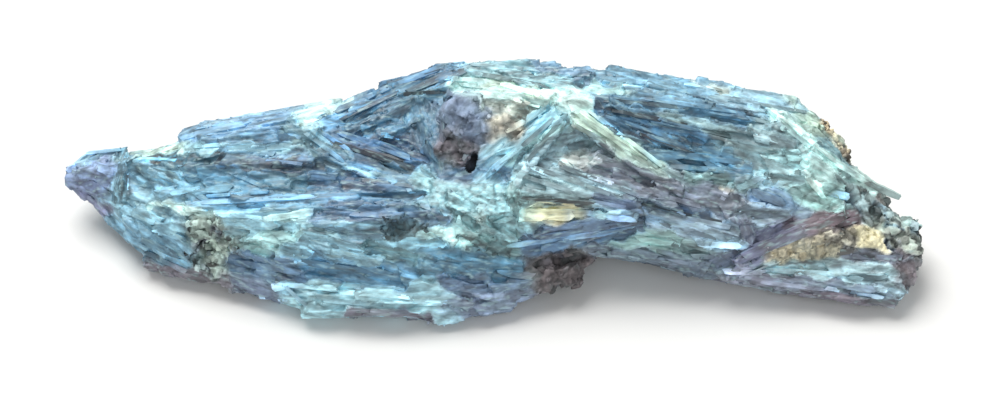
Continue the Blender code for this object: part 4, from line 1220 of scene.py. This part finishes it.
def mineral():
    """Bladed kyanite, and earthy matrix where the tint's alpha is 0.

    The kyanite is striated along its blades, mottled, a little bleached and iron stained. The
    matrix is grainy, dull and more stained.
    """
    wires = Wiring("kyanite")
    grain = wires.node("UVMap", "UV", uv_map="grain")
    place = wires.node("TexCoord", "Object")
    field = wires.node("Attribute", "Vector", attribute_name="field")
    tint = wires.node("Attribute", "Color", attribute_name="tint")
    clean = wires.node("Attribute", "Alpha", attribute_name="tint")
    earthy = wires.maths("SUBTRACT", 1.0, clean)

    # The patterns, with their scales, detail and roughness: three along the grain of each patch
    # and two along each blade, in millimetres, and four that run any way, in metres.
    streak = wires.noise(wires.stretched(field, (0.13, 0.8, 0.8)), 1.0, 3.0, 0.55)
    flecks = wires.noise(wires.stretched(field, (0.4, 1.1, 1.1)), 1.0, 2.0, 0.5)
    scars = wires.noise(wires.stretched(field, (0.33, 1.3, 1.3)), 1.3, 2.0, 0.5)
    fibres = wires.noise(wires.stretched(grain, (0.18, 2.6, 1.0)), 1.0, 3.0, 0.6)
    lines = wires.noise(wires.stretched(grain, (0.12, 9.0, 1.0)), 1.0, 2.0)
    grains = wires.noise(place, 1500.0, 3.0, 0.6)
    mottle = wires.noise(place, 480.0, 4.0, 0.65)
    bloom = wires.noise(place, 120.0, 3.0, 0.6)
    stain = wires.noise(place, 210.0, 4.0, 0.65)

    # Each pattern, how much it shows, and the shade where it is low and where it is high.
    colour = tint
    for pattern, amount, low, high in (
        (streak, clean, 0.6, 1.45),
        (flecks, clean, 0.62, 1.38),
        (fibres, clean, 0.9, 1.1),
        (lines, clean, 0.96, 1.04),
        (mottle, 1.0, 0.84, 1.16),
        (grains, earthy, 0.75, 1.25),
    ):
        shade = wires.ranged(pattern, 0.3, 0.7, low, high)
        colour = wires.mix("MULTIPLY", amount, colour, shade)

    # Bleached where the bloom or the scars are high, and rusty where the stain is.
    pale = (*linear("ice"), 1.0)
    rust = (*linear("rust"), 1.0)
    colour = wires.mix("MIX", wires.ranged(bloom, 0.5, 0.72, 0.0, 0.16), colour, pale)
    scarred = wires.maths("MULTIPLY", wires.ranged(scars, 0.54, 0.7, 0.0, 0.36), clean)
    colour = wires.mix("MIX", scarred, colour, pale)
    colour = wires.mix("MIX", wires.ranged(stain, 0.55, 0.85, 0.0, 0.14), colour, rust)

    rough = wires.ranged(wires.maths("ADD", fibres, bloom), 0.7, 1.3, *ROUGHNESS)
    rough = wires.maths("MAXIMUM", rough, wires.maths("MULTIPLY", earthy, EARTHY_ROUGHNESS))
    ribs = wires.maths("ADD", wires.maths("MULTIPLY", fibres, 0.8), lines)
    ribs = wires.maths("MULTIPLY", ribs, clean)
    height = wires.maths("ADD", ribs, wires.maths("MULTIPLY", grains, earthy))
    height = wires.maths("ADD", height, mottle)
    relief = {"Height": height, "Strength": BUMP_STRENGTH, "Distance": BUMP * MM}
    bump = wires.node("Bump", "Normal", relief)
    wires.put(wires.shader, {"Base Color": colour, "Roughness": rough, "Normal": bump, "IOR": IOR})
    return wires.material


# ---- Making ----

bpy.context.scene.view_settings.view_transform = "Standard"
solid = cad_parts[NODE]
faces = triangles_of(solid.data)
corner_numbers = np.arange(len(faces) * 3).reshape(-1, 3)
ground = BVHTree.FromPolygons(faces.reshape(-1, 3).tolist(), corner_numbers.tolist())
kyanite = mineral()

body_pieces("body", solid, kyanite, np.random.default_rng(11))
blade_luck = np.random.default_rng(12)
for sector, laths in split_by_sector(sow(ground, faces, blade_luck)):
    lath_piece("blades_" + sector, laths, kyanite, blade_luck)
lath_piece("plates", feature_laths(ground, blade_luck), kyanite, blade_luck)
crumbs_piece("crumbs", faces, kyanite, np.random.default_rng(13))


# ---- Floor, light and camera ----

FLOOR_SIZE = 8.0
PAPER = (0.78, 0.78, 0.77, 1.0)
PAPER_ROUGHNESS = 0.9
DAYLIGHT = 0.42  # how bright the world is


def linked(name, data, spot=(0.0, 0.0, 0.0), looking=None):
    """A new object at spot, in the scene. A light or a camera looks the way that looking points."""
    thing = bpy.data.objects.new(name, data)
    thing.location = spot
    if looking is not None:
        thing.rotation_euler = Vector(looking).to_track_quat("-Z", "Y").to_euler()
    bpy.context.scene.collection.objects.link(thing)
    return thing


def soft_light(name, spot, size, power, colour):
    """A square light at spot that shines on the specimen."""
    lamp = bpy.data.lights.new(name, "AREA")
    lamp.size = size
    lamp.energy = power
    lamp.color = colour
    linked(name, lamp, spot, -Vector(spot))


paper = Wiring("paper")
paper.put(paper.shader, {"Base Color": PAPER, "Roughness": PAPER_ROUGHNESS})
edge = FLOOR_SIZE / 2
floor_corners = [(-edge, -edge, 0), (edge, -edge, 0), (edge, edge, 0), (-edge, edge, 0)]
floor_mesh = bpy.data.meshes.new("floor")
floor_mesh.from_pydata(floor_corners, [], [(0, 1, 2, 3)])
floor_mesh.materials.append(paper.material)
floor = linked("floor", floor_mesh)

world = bpy.data.worlds.new("studio")
bpy.context.scene.world = world
world.use_nodes = True
world.node_tree.nodes["Background"].inputs["Color"].default_value = (1.0, 1.0, 1.0, 1.0)
world.node_tree.nodes["Background"].inputs["Strength"].default_value = DAYLIGHT
soft_light("key", (-0.25, 0.35, 0.9), size=0.7, power=11.7, colour=(1.0, 0.99, 0.97))
soft_light("fill", (0.3, -0.9, 0.7), size=0.9, power=3.2, colour=(0.95, 0.98, 1.0))

lens = bpy.data.cameras.new("camera")
lens.lens = LENS
lens.sensor_width = SENSOR
lens.clip_start = 0.01
camera = linked("camera", lens, CAM_SPOT, -CAM_BACK)
bpy.context.scene.camera = camera
